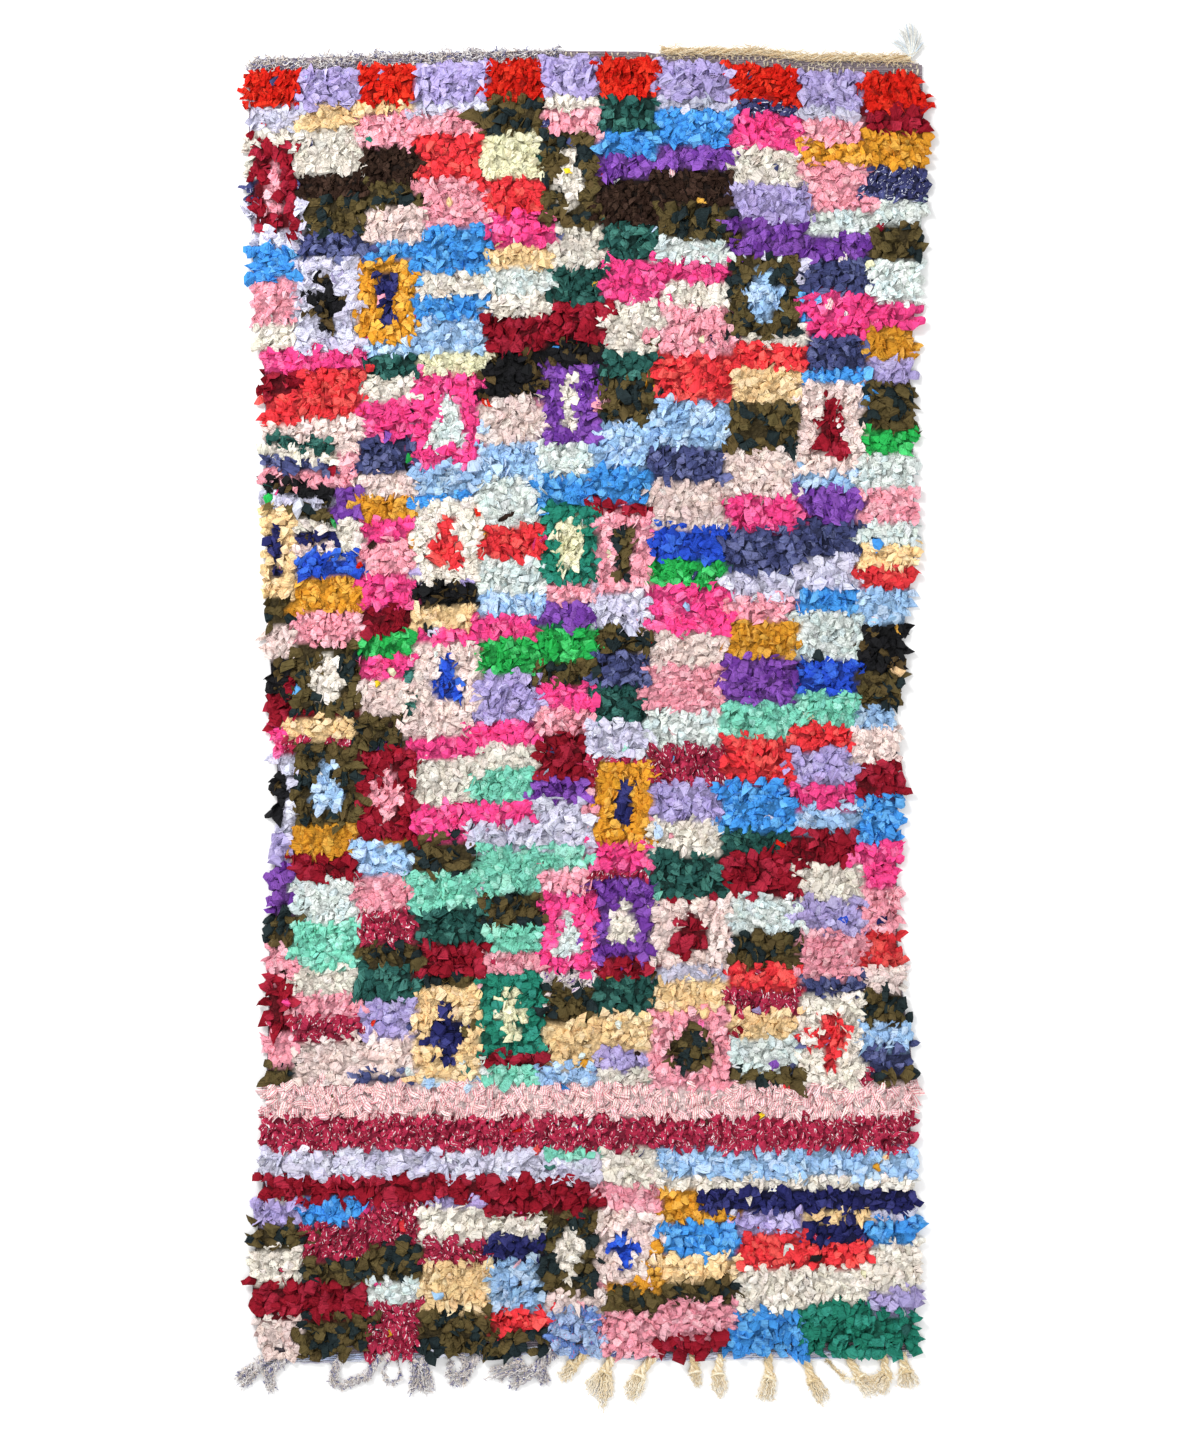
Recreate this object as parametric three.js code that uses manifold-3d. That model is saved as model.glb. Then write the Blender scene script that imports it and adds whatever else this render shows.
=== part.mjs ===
// Boucherouite rug, lying flat and face up on a floor. Millimetres, with +Z up.
// +Y runs along the rug towards its plain woven end, and +X is to the right, seen from above.
// The tables give places as "across", from the rug's middle line, and "along", from its knotted
// end towards the woven end. The whole rug is centred at the end, so that the origin is the
// middle of its underside.

import * as THREE from 'three';
import { mergeVertices } from 'three/addons/utils/BufferGeometryUtils.js';
import Module from 'manifold-3d';

const wasm = await Module();
wasm.setup();

// Thickness of the cloth
const PILE_TOP = 22; // usual height of the rag pile
const LUMP = 6; // how far its lumps rise and sink
const LUMP_VARIES = { least: 0.5, most: 1.2 }; // as shares of that
const LOW_LUMP = 1 / 3; // share of a lump that is left on the rim and the hem
const PILE_RIM = 10; // height of the pile where it rolls down at an edge
const RIM_ROLL = 20; // width over which it rolls down
const HEM_THICK = 4.5; // flat weave of the hem at the woven end
const YARN_HEM_THICK = 9; // frizzy yarn that covers the left half of that hem
const YARN_HEM_RIGHT = -50; // where the frizzy yarn stops, across
const HEM_STATIONS = [0.2, 0.6, 1]; // shares of the hem's width at which it is drawn
const CLOTH_LENGTH = 2600; // woven length, hem included
const LUMPS_ACROSS = 22;
const LUMPS_ALONG = 48;

// Rag ends that stick out all round the pile
const LOCK_PITCH = 38; // along the long edges
const END_LOCK_PITCH = 45.6; // along the two ends
const LOCK_WIDTH = 22;
const LOCK_THICK = 4.5;
const LOCK_ROOT = 14; // how deep it is held in the pile
const LOCK_TAPER = { wide: 0.8, thick: 0.7 }; // tip's size as shares of the root's
// How far they stand out, at what height and how far they turn aside, on each kind of edge.
// Each value is its middle and its whole spread.
const SIDE_LOCKS = { reach: [15, 16], low: [3, 4], turn: 1.1, width: 8, place: 14 };
const FOOT_LOCKS = { reach: [5, 3], low: [5, 0], turn: 0.6, width: 6, place: 16 };
const HEM_LOCKS = { reach: [8, 6], low: [4.5, 0], turn: 0.9, width: 6, place: 16 };
const SIDE_LOCK_SPAN = { from: 18, to: 2540 };
const END_LOCK_SPAN = { from: -615, to: 640 };

// Knotted warp ends at the lower end
const SEAM_GAP = 0.4; // between pieces that are separate solids
const HEADING_DEPTH = 17; // woven strip that the warp ends come out of
const HEADING_THICK = 3.6;
const STEM_HEIGHT = 7;
const STRAND_WIDTH = 8;
const STRAND_HEIGHT = 5.5;
const STRAND_STEPS = 2;
const STEM_STEPS = 2;
const TIP_WIDTH = 0.45; // width of a strand's tip as a share of its root's
const TIP_HEIGHT = 0.55;
const FAN_START = 0.15; // share of the fan's width at the waist
const FAN_MIDDLE = 0.62; // and half-way to the tips
const STRAND_LENGTH = { least: 0.78, most: 1.04 }; // shares of the way from waist to tip
const SWAY = 7; // whole spread of a strand's bend to the side
const KNOT_HEIGHT = 13;
const KNOT_SIDES = 7;
// A knot's outline from its underside to its top, as shares of its radius and height
const KNOT_PROFILE = [
  { wide: 0, high: 0 },
  { wide: 0.85, high: 0 },
  { wide: 1, high: 0.4 },
  { wide: 0.6, high: 0.9 },
  { wide: 0, high: 1 },
];

// Plied cord along the right half of the woven end
const CORD_WIDE = 15.5;
const CORD_NARROW = 11;
const CORD_TURN = 64; // length of one full turn of its twist
const CORD_STEP = 8;
const CORD_SIDES = 6;
const CORD_NESTS = 0.9; // how far the round cord leans in over the thin edge of the hem
const CORD_KNOT = 6; // radius of the knot that ends it
const CORD_START = 152;
const CORD_END = 655;
const CORD_TAPER = { start: 0.5, length: 80 }; // thin at its start, full after this length

// The long edges of the pile as they lie, rag ends left out
const SIDES = [
  { along: 0, left: -644, right: 660 },
  { along: 110, left: -673, right: 667 },
  { along: 220, left: -664, right: 670 },
  { along: 400, left: -643, right: 655 },
  { along: 580, left: -641, right: 661 },
  { along: 700, left: -638, right: 642 },
  { along: 840, left: -636, right: 629 },
  { along: 1000, left: -624, right: 628 },
  { along: 1180, left: -620, right: 633 },
  { along: 1300, left: -630, right: 619 },
  { along: 1460, left: -638, right: 642 },
  { along: 1600, left: -640, right: 663 },
  { along: 1800, left: -644, right: 662 },
  { along: 1980, left: -645, right: 654 },
  { along: 2120, left: -666, right: 666 },
  { along: 2300, left: -674, right: 680 },
  { along: 2470, left: -678, right: 682 },
  { along: 2590, left: -672, right: 668 },
];

// Where the pile starts, where it stops, and where the hem past it ends, all along
const ENDS = [
  { across: -690, foot: -12, pile: 2552, hem: 2582 },
  { across: -530, foot: -12, pile: 2560, hem: 2588 },
  { across: -290, foot: 0, pile: 2572, hem: 2596 },
  { across: -80, foot: 6, pile: 2580, hem: 2601 },
  { across: 120, foot: -8, pile: 2578, hem: 2599 },
  { across: 160, foot: -8, pile: 2576, hem: 2592 },
  { across: 350, foot: -4, pile: 2566, hem: 2591 },
  { across: 430, foot: -4, pile: 2558, hem: 2580 },
  { across: 690, foot: 0, pile: 2550, hem: 2576 },
];

// Tassels of grey yarn, left to right: where each leaves the heading, its waist and the middle
// of its tips, how many strands fan out and how wide, and how thick the stem is. Waist and tip
// are [across, down], with "down" measured outwards from along = 0.
const GREY_TASSELS = [
  { root: -642, waist: [-658, 42], tip: [-694, 76], strands: 5, fan: 30, stem: 18 },
  { root: -598, waist: [-616, 56], tip: [-624, 92], strands: 4, fan: 26, stem: 17 },
  { root: -488, waist: [-500, 40], tip: [-502, 80], strands: 3, fan: 16, stem: 14 },
  { root: -408, waist: [-436, 56], tip: [-496, 82], strands: 3, fan: 16, stem: 14 },
  { root: -388, waist: [-404, 44], tip: [-394, 76], strands: 1, fan: 0, stem: 8 },
  { root: -378, waist: [-368, 54], tip: [-390, 80], strands: 1, fan: 0, stem: 8 },
  { root: -356, waist: [-338, 34], tip: [-344, 96], strands: 4, fan: 28, stem: 17 },
  { root: -312, waist: [-324, 34], tip: [-314, 98], strands: 4, fan: 28, stem: 17 },
  { root: -280, waist: [-266, 32], tip: [-276, 56], strands: 1, fan: 0, stem: 8 },
  { root: -254, waist: [-232, 34], tip: [-254, 78], strands: 3, fan: 18, stem: 12 },
  { root: -200, waist: [-230, 34], tip: [-290, 76], strands: 3, fan: 14, stem: 15 },
  { root: -142, waist: [-132, 34], tip: [-208, 54], strands: 4, fan: 26, stem: 18 },
  { root: -68, waist: [-102, 42], tip: [-156, 74], strands: 4, fan: 26, stem: 18 },
  { root: -54, waist: [-88, 42], tip: [-74, 76], strands: 3, fan: 16, stem: 12 },
];

// The same for the tassels of cream cotton, with the radius of the knot at the waist
const CREAM_TASSELS = [
  { root: 4, waist: [-24, 32], tip: [-54, 66], strands: 3, fan: 20, stem: 16, knot: 14 },
  { root: 62, waist: [40, 48], tip: [22, 102], strands: 6, fan: 56, stem: 18, knot: 16 },
  { root: 54, waist: [38, 56], tip: [38, 134], strands: 1, fan: 0, stem: 9 },
  { root: 140, waist: [110, 54], tip: [86, 108], strands: 4, fan: 34, stem: 21, knot: 14 },
  { root: 216, waist: [220, 46], tip: [230, 80], strands: 3, fan: 14, stem: 17, knot: 12 },
  { root: 274, waist: [266, 48], tip: [276, 100], strands: 4, fan: 34, stem: 19, knot: 14 },
  { root: 366, waist: [370, 58], tip: [358, 114], strands: 4, fan: 34, stem: 19, knot: 14 },
  { root: 436, waist: [456, 64], tip: [482, 114], strands: 5, fan: 54, stem: 20, knot: 14 },
  { root: 472, waist: [518, 58], tip: [598, 66], strands: 1, fan: 0, stem: 8 },
  { root: 522, waist: [550, 58], tip: [594, 96], strands: 4, fan: 32, stem: 17 },
  { root: 596, waist: [604, 52], tip: [560, 92], strands: 4, fan: 28, stem: 17 },
  { root: 636, waist: [642, 46], tip: [662, 82], strands: 4, fan: 36, stem: 19 },
];

// The two woven headings, which part between the last grey and the first cream warp end
const GREY_HEADING = { left: -640, right: -14 };
const CREAM_HEADING = { left: -10, right: 656 };

// Frayed end of the plied cord, past the corner of the rug
const CORD_WISP = [
  { across: 616, along: 2622 },
  { across: 628, along: 2644 },
  { across: 642, along: 2656 },
  { across: 657, along: 2650 },
  { across: 670, along: 2636 },
  { across: 680, along: 2614 },
];

const WISP_BEND = new THREE.Vector2(3, 4);

const RAG_COLOUR = 0xb9848f;
const GREY_YARN_COLOUR = 0x93909a;
const CREAM_COTTON_COLOUR = 0xddc9a4;

// Returns the same spread of numbers from 0 to 1 each time, one for each call.
function makeRandom(seed) {
  let state = seed;
  return () => {
    state = (state + 0x6d2b79f5) | 0;
    let mixed = Math.imul(state ^ (state >>> 15), 1 | state);
    mixed = (mixed + Math.imul(mixed ^ (mixed >>> 7), 61 | mixed)) ^ mixed;
    return ((mixed ^ (mixed >>> 14)) >>> 0) / 4294967296;
  };
}

// Reads a column of a table at a place between two of its rows.
function readTable(rows, place, column, at) {
  let next = rows.findIndex((row) => row[place] > at);
  if (next < 0) next = rows.length - 1;
  if (next < 1) next = 1;
  const low = rows[next - 1];
  const high = rows[next];
  const share = THREE.MathUtils.clamp((at - low[place]) / (high[place] - low[place]), 0, 1);
  return THREE.MathUtils.lerp(low[column], high[column], share);
}

function sideAt(column, along) {
  return readTable(SIDES, 'along', column, along);
}

function endAt(column, across) {
  return readTable(ENDS, 'across', column, across);
}

// Turns a list of points and triangles, or any closed geometry, into a solid.
function solidOf(geometry) {
  const bare = geometry.index ? geometry.clone() : geometry;
  bare.deleteAttribute('normal');
  bare.deleteAttribute('uv');
  const merged = mergeVertices(bare, 0.001);
  return new wasm.Manifold(new wasm.Mesh({
    numProp: 3,
    vertProperties: new Float32Array(merged.attributes.position.array),
    triVerts: new Uint32Array(merged.index.array),
  }));
}

function geometryFrom(points, triangles) {
  const geometry = new THREE.BufferGeometry();
  geometry.setAttribute('position', new THREE.Float32BufferAttribute(points.flat(), 3));
  geometry.setIndex(triangles.flat());
  return geometry;
}

function joinAll(solids) {
  return solids.reduce((whole, solid) => whole.add(solid));
}

function meshOf(name, solid, colour, roughness) {
  const result = solid.getMesh();
  const geometry = new THREE.BufferGeometry();
  geometry.setAttribute('position', new THREE.Float32BufferAttribute(result.vertProperties, 3));
  geometry.setIndex(new THREE.Uint32BufferAttribute(result.triVerts, 1));
  geometry.computeVertexNormals();
  const material = new THREE.MeshStandardMaterial({ color: colour, roughness, metalness: 0 });
  const mesh = new THREE.Mesh(geometry, material);
  mesh.name = name;
  return mesh;
}

// Lines along which the cloth's upper face is drawn, from the lower edge to the hem's edge.
// Each tells where it runs between the foot of the pile and its top, or past that on the hem.
function clothLines() {
  const lines = [{ share: 0, past: 0, kind: 'rim' }];
  for (let i = 0; i <= LUMPS_ALONG; i += 1) {
    lines.push({ share: i / LUMPS_ALONG, past: 0, kind: 'pile' });
  }
  lines.push({ share: 1, past: 0, kind: 'step' });
  HEM_STATIONS.forEach((past) => lines.push({ share: 1, past, kind: 'hem' }));
  return lines;
}

function alongOf(line, across) {
  const foot = endAt('foot', across);
  const pile = endAt('pile', across);
  const hem = endAt('hem', across);
  if (line.kind === 'pile') {
    return THREE.MathUtils.lerp(foot + RIM_ROLL, pile - RIM_ROLL / 2, line.share);
  }
  return THREE.MathUtils.lerp(foot, pile, line.share) + line.past * (hem - pile);
}

// The ground cloth with its pile: a lumpy slab, flat below, rolled down at its edges and
// thin at the hem. Returns its geometry and the points of its lower and upper edges.
function makeCloth() {
  const random = makeRandom(7);
  const lines = clothLines();
  const columns = LUMPS_ACROSS + 3;
  const points = [];
  lines.forEach((line, j) => {
    const nominal = line.share * CLOTH_LENGTH;
    const left = sideAt('left', nominal);
    const right = sideAt('right', nominal);
    for (let i = 0; i < columns; i += 1) {
      const share = THREE.MathUtils.clamp((i - 1) / (columns - 3), 0, 1);
      const atRim = i === 0 || i === columns - 1;
      const across = atRim
        ? (i === 0 ? left : right)
        : THREE.MathUtils.lerp(left + RIM_ROLL, right - RIM_ROLL, share);
      const size = THREE.MathUtils.lerp(LUMP_VARIES.least, LUMP_VARIES.most, random());
      const lump = ((i + j) % 2 ? LUMP : -LUMP) * size;
      let height = PILE_TOP + lump;
      if (line.kind === 'hem') {
        height = across < YARN_HEM_RIGHT ? YARN_HEM_THICK + lump * LOW_LUMP : HEM_THICK;
      } else if (atRim || line.kind !== 'pile') {
        height = PILE_RIM + lump * LOW_LUMP;
      }
      points.push([across, alongOf(line, across), height]);
    }
  });

  const at = (i, j) => j * columns + i;
  const last = { i: columns - 1, j: lines.length - 1 };
  const triangles = [];
  for (let j = 0; j < last.j; j += 1) {
    for (let i = 0; i < last.i; i += 1) {
      const corners = [at(i, j), at(i + 1, j), at(i + 1, j + 1), at(i, j + 1)];
      if ((i + j) % 2) corners.push(corners.shift());
      triangles.push([corners[0], corners[1], corners[2]], [corners[0], corners[2], corners[3]]);
    }
  }

  const rim = [];
  for (let i = 0; i < last.i; i += 1) rim.push(at(i, 0));
  for (let j = 0; j < last.j; j += 1) rim.push(at(last.i, j));
  for (let i = last.i; i > 0; i -= 1) rim.push(at(i, last.j));
  for (let j = last.j; j > 0; j -= 1) rim.push(at(0, j));
  const base = points.length;
  rim.forEach((index) => points.push([points[index][0], points[index][1], 0]));
  rim.forEach((index, k) => {
    const next = (k + 1) % rim.length;
    triangles.push([base + k, base + next, rim[next]], [base + k, rim[next], index]);
  });
  const flat = rim.map((index) => new THREE.Vector2(points[index][0], points[index][1]));
  THREE.ShapeUtils.triangulateShape(flat, []).forEach(([a, b, c]) => {
    triangles.push([base + a, base + c, base + b]);
  });

  const edge = (j) => Array.from({ length: columns }, (unused, i) => {
    const [across, along] = points[at(i, j)];
    return { across, along };
  });
  return { geometry: geometryFrom(points, triangles), lowerEdge: edge(0), upperEdge: edge(last.j) };
}

// One rag end: a flat, slightly tapered tab that points away from the pile.
function makeLock(across, along, low, heading, reach, width) {
  const geometry = new THREE.BoxGeometry(LOCK_ROOT + reach, width, LOCK_THICK);
  geometry.translate((reach - LOCK_ROOT) / 2, 0, LOCK_THICK / 2);
  const position = geometry.attributes.position;
  for (let i = 0; i < position.count; i += 1) {
    if (position.getX(i) > 0) {
      position.setY(i, position.getY(i) * LOCK_TAPER.wide);
      if (position.getZ(i) > 0) position.setZ(i, LOCK_THICK * LOCK_TAPER.thick);
    }
  }
  geometry.rotateZ(heading);
  geometry.translate(across, along, low);
  return solidOf(geometry);
}

// Rag ends along both long edges, along the lower edge above the heading, and on the hem.
function makeLocks() {
  const random = makeRandom(23);
  const spread = (middle, range) => middle + (random() - 0.5) * range;
  const addLock = (across, along, heading, kind) => makeLock(
    across, along, spread(...kind.low), spread(heading, kind.turn),
    spread(...kind.reach), spread(LOCK_WIDTH, kind.width),
  );
  const locks = [];
  for (let along = SIDE_LOCK_SPAN.from; along < SIDE_LOCK_SPAN.to; along += LOCK_PITCH) {
    for (const [column, heading] of [['left', Math.PI], ['right', 0]]) {
      const place = spread(along, SIDE_LOCKS.place);
      locks.push(addLock(sideAt(column, place), place, heading, SIDE_LOCKS));
    }
  }
  for (let across = END_LOCK_SPAN.from; across < END_LOCK_SPAN.to; across += END_LOCK_PITCH) {
    const atFoot = spread(across, FOOT_LOCKS.place);
    locks.push(addLock(atFoot, endAt('foot', atFoot), -Math.PI / 2, FOOT_LOCKS));
    const atHem = spread(across, HEM_LOCKS.place);
    locks.push(addLock(atHem, endAt('pile', atHem), Math.PI / 2, HEM_LOCKS));
  }
  return locks;
}

// A strand that lies level on the floor: flat below, with a ridge, thinner towards its tip.
function makeStrand(path, width, height, steps) {
  const curve = new THREE.SplineCurve(path);
  const points = [];
  const triangles = [];
  for (let i = 0; i <= steps; i += 1) {
    const share = i / steps;
    const place = curve.getPoint(share);
    const way = curve.getTangent(share);
    const half = (width / 2) * THREE.MathUtils.lerp(1, TIP_WIDTH, share);
    points.push(
      [place.x - way.y * half, place.y + way.x * half, 0],
      [place.x + way.y * half, place.y - way.x * half, 0],
      [place.x, place.y, height * THREE.MathUtils.lerp(1, TIP_HEIGHT, share)],
    );
  }
  for (let i = 0; i < steps; i += 1) {
    for (let k = 0; k < 3; k += 1) {
      const here = i * 3;
      const next = (k + 1) % 3;
      triangles.push([here + k, here + 3 + next, here + next], [here + k, here + 3 + k, here + 3 + next]);
    }
  }
  const end = steps * 3;
  triangles.push([0, 1, 2], [end + 2, end + 1, end]);
  return solidOf(geometryFrom(points, triangles));
}

// A knot on the floor: round from above, domed, with a flat underside.
function makeKnot(place, radius) {
  const profile = KNOT_PROFILE.map(({ wide, high }) => (
    new THREE.Vector2(radius * wide, KNOT_HEIGHT * high)
  ));
  const geometry = new THREE.LatheGeometry(profile, KNOT_SIDES);
  geometry.rotateX(Math.PI / 2);
  geometry.translate(place.x, place.y, 0);
  return solidOf(geometry);
}

// A woven strip against the pile's lower edge, parted from it by the seam gap.
function makeHeading({ left, right }, lowerEdge) {
  const inner = lowerEdge.filter((point) => point.across > left && point.across < right);
  const ends = [left, right].map((across) => (
    { across, along: readTable(lowerEdge, 'across', 'along', across) }
  ));
  const edge = [ends[0], ...inner, ends[1]];
  const outline = [
    ...edge.map((point) => new THREE.Vector2(point.across, point.along - HEADING_DEPTH)),
    ...edge.toReversed().map((point) => new THREE.Vector2(point.across, point.along - SEAM_GAP)),
  ];
  return solidOf(new THREE.ExtrudeGeometry(new THREE.Shape(outline), {
    depth: HEADING_THICK,
    bevelEnabled: false,
    steps: 1,
  }));
}

// A heading with all its tassels: each has a stem, a knot where the table gives one, and
// strands that fan out from the waist and end at uneven lengths.
function makeFringe(heading, tassels, lowerEdge, seed) {
  const random = makeRandom(seed);
  const solids = [makeHeading(heading, lowerEdge)];
  for (const { root, waist, tip, strands, fan, stem, knot } of tassels) {
    const from = new THREE.Vector2(root, readTable(lowerEdge, 'across', 'along', root) - HEADING_DEPTH / 2);
    const middle = new THREE.Vector2(waist[0], -waist[1]);
    const bend = from.clone().lerp(middle, 0.5);
    bend.x += (random() - 0.5) * SWAY;
    solids.push(makeStrand([from, bend, middle], stem, STEM_HEIGHT, STEM_STEPS));
    if (knot) solids.push(makeKnot(middle, knot));
    const way = new THREE.Vector2(tip[0], -tip[1]).sub(middle);
    const length = way.length();
    way.normalize();
    const aside = new THREE.Vector2(-way.y, way.x);
    const place = (far, offset) => middle.clone().addScaledVector(way, far).addScaledVector(aside, offset);
    for (let k = 0; k < strands; k += 1) {
      const offset = strands > 1 ? (k / (strands - 1) - 0.5) * fan : 0;
      const share = THREE.MathUtils.lerp(STRAND_LENGTH.least, STRAND_LENGTH.most, random());
      const far = length * (strands > 1 ? share : 1);
      const sway = (random() - 0.5) * SWAY;
      solids.push(makeStrand(
        [place(0, offset * FAN_START), place(far / 2, offset * FAN_MIDDLE + sway), place(far, offset)],
        STRAND_WIDTH, STRAND_HEIGHT, STRAND_STEPS,
      ));
    }
  }
  return joinAll(solids);
}

// The plied cord: a two-lobed section that turns as it runs, against the hem's edge, and the
// frayed strands past its end.
function makeEdgeCord(upperEdge) {
  const steps = Math.round((CORD_END - CORD_START) / CORD_STEP);
  const offset = SEAM_GAP + CORD_WIDE / 2 - CORD_NESTS;
  const points = [];
  const triangles = [];
  for (let i = 0; i <= steps; i += 1) {
    const across = THREE.MathUtils.lerp(CORD_START, CORD_END, i / steps);
    const turn = ((across - CORD_START) / CORD_TURN) * Math.PI * 2;
    const hem = readTable(upperEdge, 'across', 'along', across);
    const full = Math.min(1, (across - CORD_START) / CORD_TAPER.length);
    const thin = THREE.MathUtils.lerp(CORD_TAPER.start, 1, full);
    for (let k = 0; k < CORD_SIDES; k += 1) {
      const angle = (k / CORD_SIDES) * Math.PI * 2;
      const wide = (Math.cos(angle) * CORD_WIDE) / 2;
      const narrow = (Math.sin(angle) * CORD_NARROW) / 2;
      const outward = (wide * Math.cos(turn) - narrow * Math.sin(turn)) * thin;
      const upward = (wide * Math.sin(turn) + narrow * Math.cos(turn)) * thin;
      points.push([across, hem + offset + outward, CORD_WIDE / 2 + upward]);
    }
  }
  for (let i = 0; i < steps; i += 1) {
    for (let k = 0; k < CORD_SIDES; k += 1) {
      const here = i * CORD_SIDES;
      const next = (k + 1) % CORD_SIDES;
      triangles.push(
        [here + k, here + next, here + CORD_SIDES + next],
        [here + k, here + CORD_SIDES + next, here + CORD_SIDES + k],
      );
    }
  }
  const end = steps * CORD_SIDES;
  for (let k = 1; k < CORD_SIDES - 1; k += 1) {
    triangles.push([0, k + 1, k], [end, end + k, end + k + 1]);
  }
  const last = new THREE.Vector2(CORD_END, readTable(upperEdge, 'across', 'along', CORD_END) + offset);
  const solids = [solidOf(geometryFrom(points, triangles)), makeKnot(last, CORD_KNOT)];
  for (const { across, along } of CORD_WISP) {
    const tip = new THREE.Vector2(across, along);
    const bend = last.clone().lerp(tip, 0.5).add(WISP_BEND);
    solids.push(makeStrand([last, bend, tip], STRAND_WIDTH, STRAND_HEIGHT, STRAND_STEPS));
  }
  return joinAll(solids);
}

const cloth = makeCloth();
const rug = joinAll([solidOf(cloth.geometry), ...makeLocks()]);
const greyFringe = makeFringe(GREY_HEADING, GREY_TASSELS, cloth.lowerEdge, 41);
const creamFringe = makeFringe(CREAM_HEADING, CREAM_TASSELS, cloth.lowerEdge, 59);
const edgeCord = makeEdgeCord(cloth.upperEdge);

const laid = new THREE.Group();
laid.add(
  meshOf('rug_ground_and_pile', rug, RAG_COLOUR, 0.95),
  meshOf('fringe_grey', greyFringe, GREY_YARN_COLOUR, 0.95),
  meshOf('fringe_cream', creamFringe, CREAM_COTTON_COLOUR, 0.9),
  meshOf('edge_cord', edgeCord, CREAM_COTTON_COLOUR, 0.9),
);

const box = new THREE.Box3().setFromObject(laid);
const middle = box.getCenter(new THREE.Vector3());
laid.position.set(-middle.x, -middle.y, -box.min.z);

const group = new THREE.Group();
group.add(laid);

export default group;
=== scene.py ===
import math

import bpy
import numpy as np
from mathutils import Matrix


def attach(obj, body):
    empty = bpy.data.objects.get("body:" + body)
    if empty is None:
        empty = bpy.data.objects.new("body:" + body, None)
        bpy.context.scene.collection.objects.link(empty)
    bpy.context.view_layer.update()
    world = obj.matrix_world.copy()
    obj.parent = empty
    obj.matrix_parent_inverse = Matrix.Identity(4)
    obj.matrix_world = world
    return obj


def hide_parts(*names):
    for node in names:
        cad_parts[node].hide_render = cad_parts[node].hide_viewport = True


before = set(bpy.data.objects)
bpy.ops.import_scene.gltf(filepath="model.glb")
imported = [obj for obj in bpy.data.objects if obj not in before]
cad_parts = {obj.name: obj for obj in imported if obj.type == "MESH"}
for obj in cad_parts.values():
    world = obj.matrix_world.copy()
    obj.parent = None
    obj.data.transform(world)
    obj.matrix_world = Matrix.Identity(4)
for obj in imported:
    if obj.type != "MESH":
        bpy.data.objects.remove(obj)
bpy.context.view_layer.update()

# Camera, light and floor.
# The rug is seen from straight above, as it was laid out for the picture. The picture is
# 1200 x 1431 pixels and shows 2 mm of floor with each, and the rug's origin lies in it at MIDDLE.
PICTURE = (1200, 1431)
PIXEL = 0.002
MIDDLE = (585.3, 719.4)
LENS, SENSOR = 85.0, 36.0
PILE_LEVEL = 0.015

scene = bpy.context.scene
camera = bpy.data.objects.new("camera", bpy.data.cameras.new("camera"))
camera.data.lens, camera.data.sensor_width = LENS, SENSOR
camera.location = (
    (PICTURE[0] / 2 - MIDDLE[0]) * PIXEL,
    (MIDDLE[1] - PICTURE[1] / 2) * PIXEL,
    PICTURE[1] * PIXEL * LENS / SENSOR + PILE_LEVEL,
)
camera.data.clip_end = 50.0
scene.collection.objects.link(camera)
scene.camera = camera
scene.view_settings.view_transform = "Standard"


def soft_lamp(name, place, size, watts):
    """A square lamp at place that shines towards the middle of the rug."""
    lamp = bpy.data.objects.new(name, bpy.data.lights.new(name, "AREA"))
    lamp.data.size, lamp.data.energy = size, watts
    lamp.location = place
    lamp.rotation_euler = (-lamp.location).to_track_quat("-Z", "Y").to_euler()
    scene.collection.objects.link(lamp)


soft_lamp("window_light", (-3.2, 3.6, 4.2), 2.0, 330.0)
soft_lamp("fill_light", (3.6, -2.6, 4.6), 3.5, 100.0)
scene.world = bpy.data.worlds.new("room")
scene.world.use_nodes = True
room = scene.world.node_tree.nodes["Background"]
room.inputs["Color"].default_value = (1.0, 1.0, 1.0, 1.0)
room.inputs["Strength"].default_value = 0.81

FLOOR_HALF = 9.0
floor_mesh = bpy.data.meshes.new("floor")
floor_corners = [(x * FLOOR_HALF, y * FLOOR_HALF, 0.0) for x, y in ((-1, -1), (1, -1), (1, 1), (-1, 1))]
floor_mesh.from_pydata(floor_corners, [], [(0, 1, 2, 3)])
floor_material = bpy.data.materials.new("pale_floor")
floor_material.use_nodes = True
floor_nodes = floor_material.node_tree.nodes
floor_place = floor_nodes.new("ShaderNodeTexCoord")
floor_grain = floor_nodes.new("ShaderNodeTexNoise")
floor_grain.inputs["Scale"].default_value = 3.0
floor_tone = floor_nodes.new("ShaderNodeValToRGB")
floor_tone.color_ramp.elements[0].color = (0.93, 0.93, 0.93, 1.0)
floor_tone.color_ramp.elements[1].color = (0.96, 0.96, 0.96, 1.0)
floor_links = floor_material.node_tree.links
floor_links.new(floor_place.outputs["Object"], floor_grain.inputs["Vector"])
floor_links.new(floor_grain.outputs["Fac"], floor_tone.inputs["Fac"])
floor_links.new(floor_tone.outputs["Color"], floor_nodes["Principled BSDF"].inputs["Base Color"])
floor_nodes["Principled BSDF"].inputs["Roughness"].default_value = 0.9
floor_mesh.materials.append(floor_material)
floor = bpy.data.objects.new("floor", floor_mesh)
scene.collection.objects.link(floor)

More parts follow.
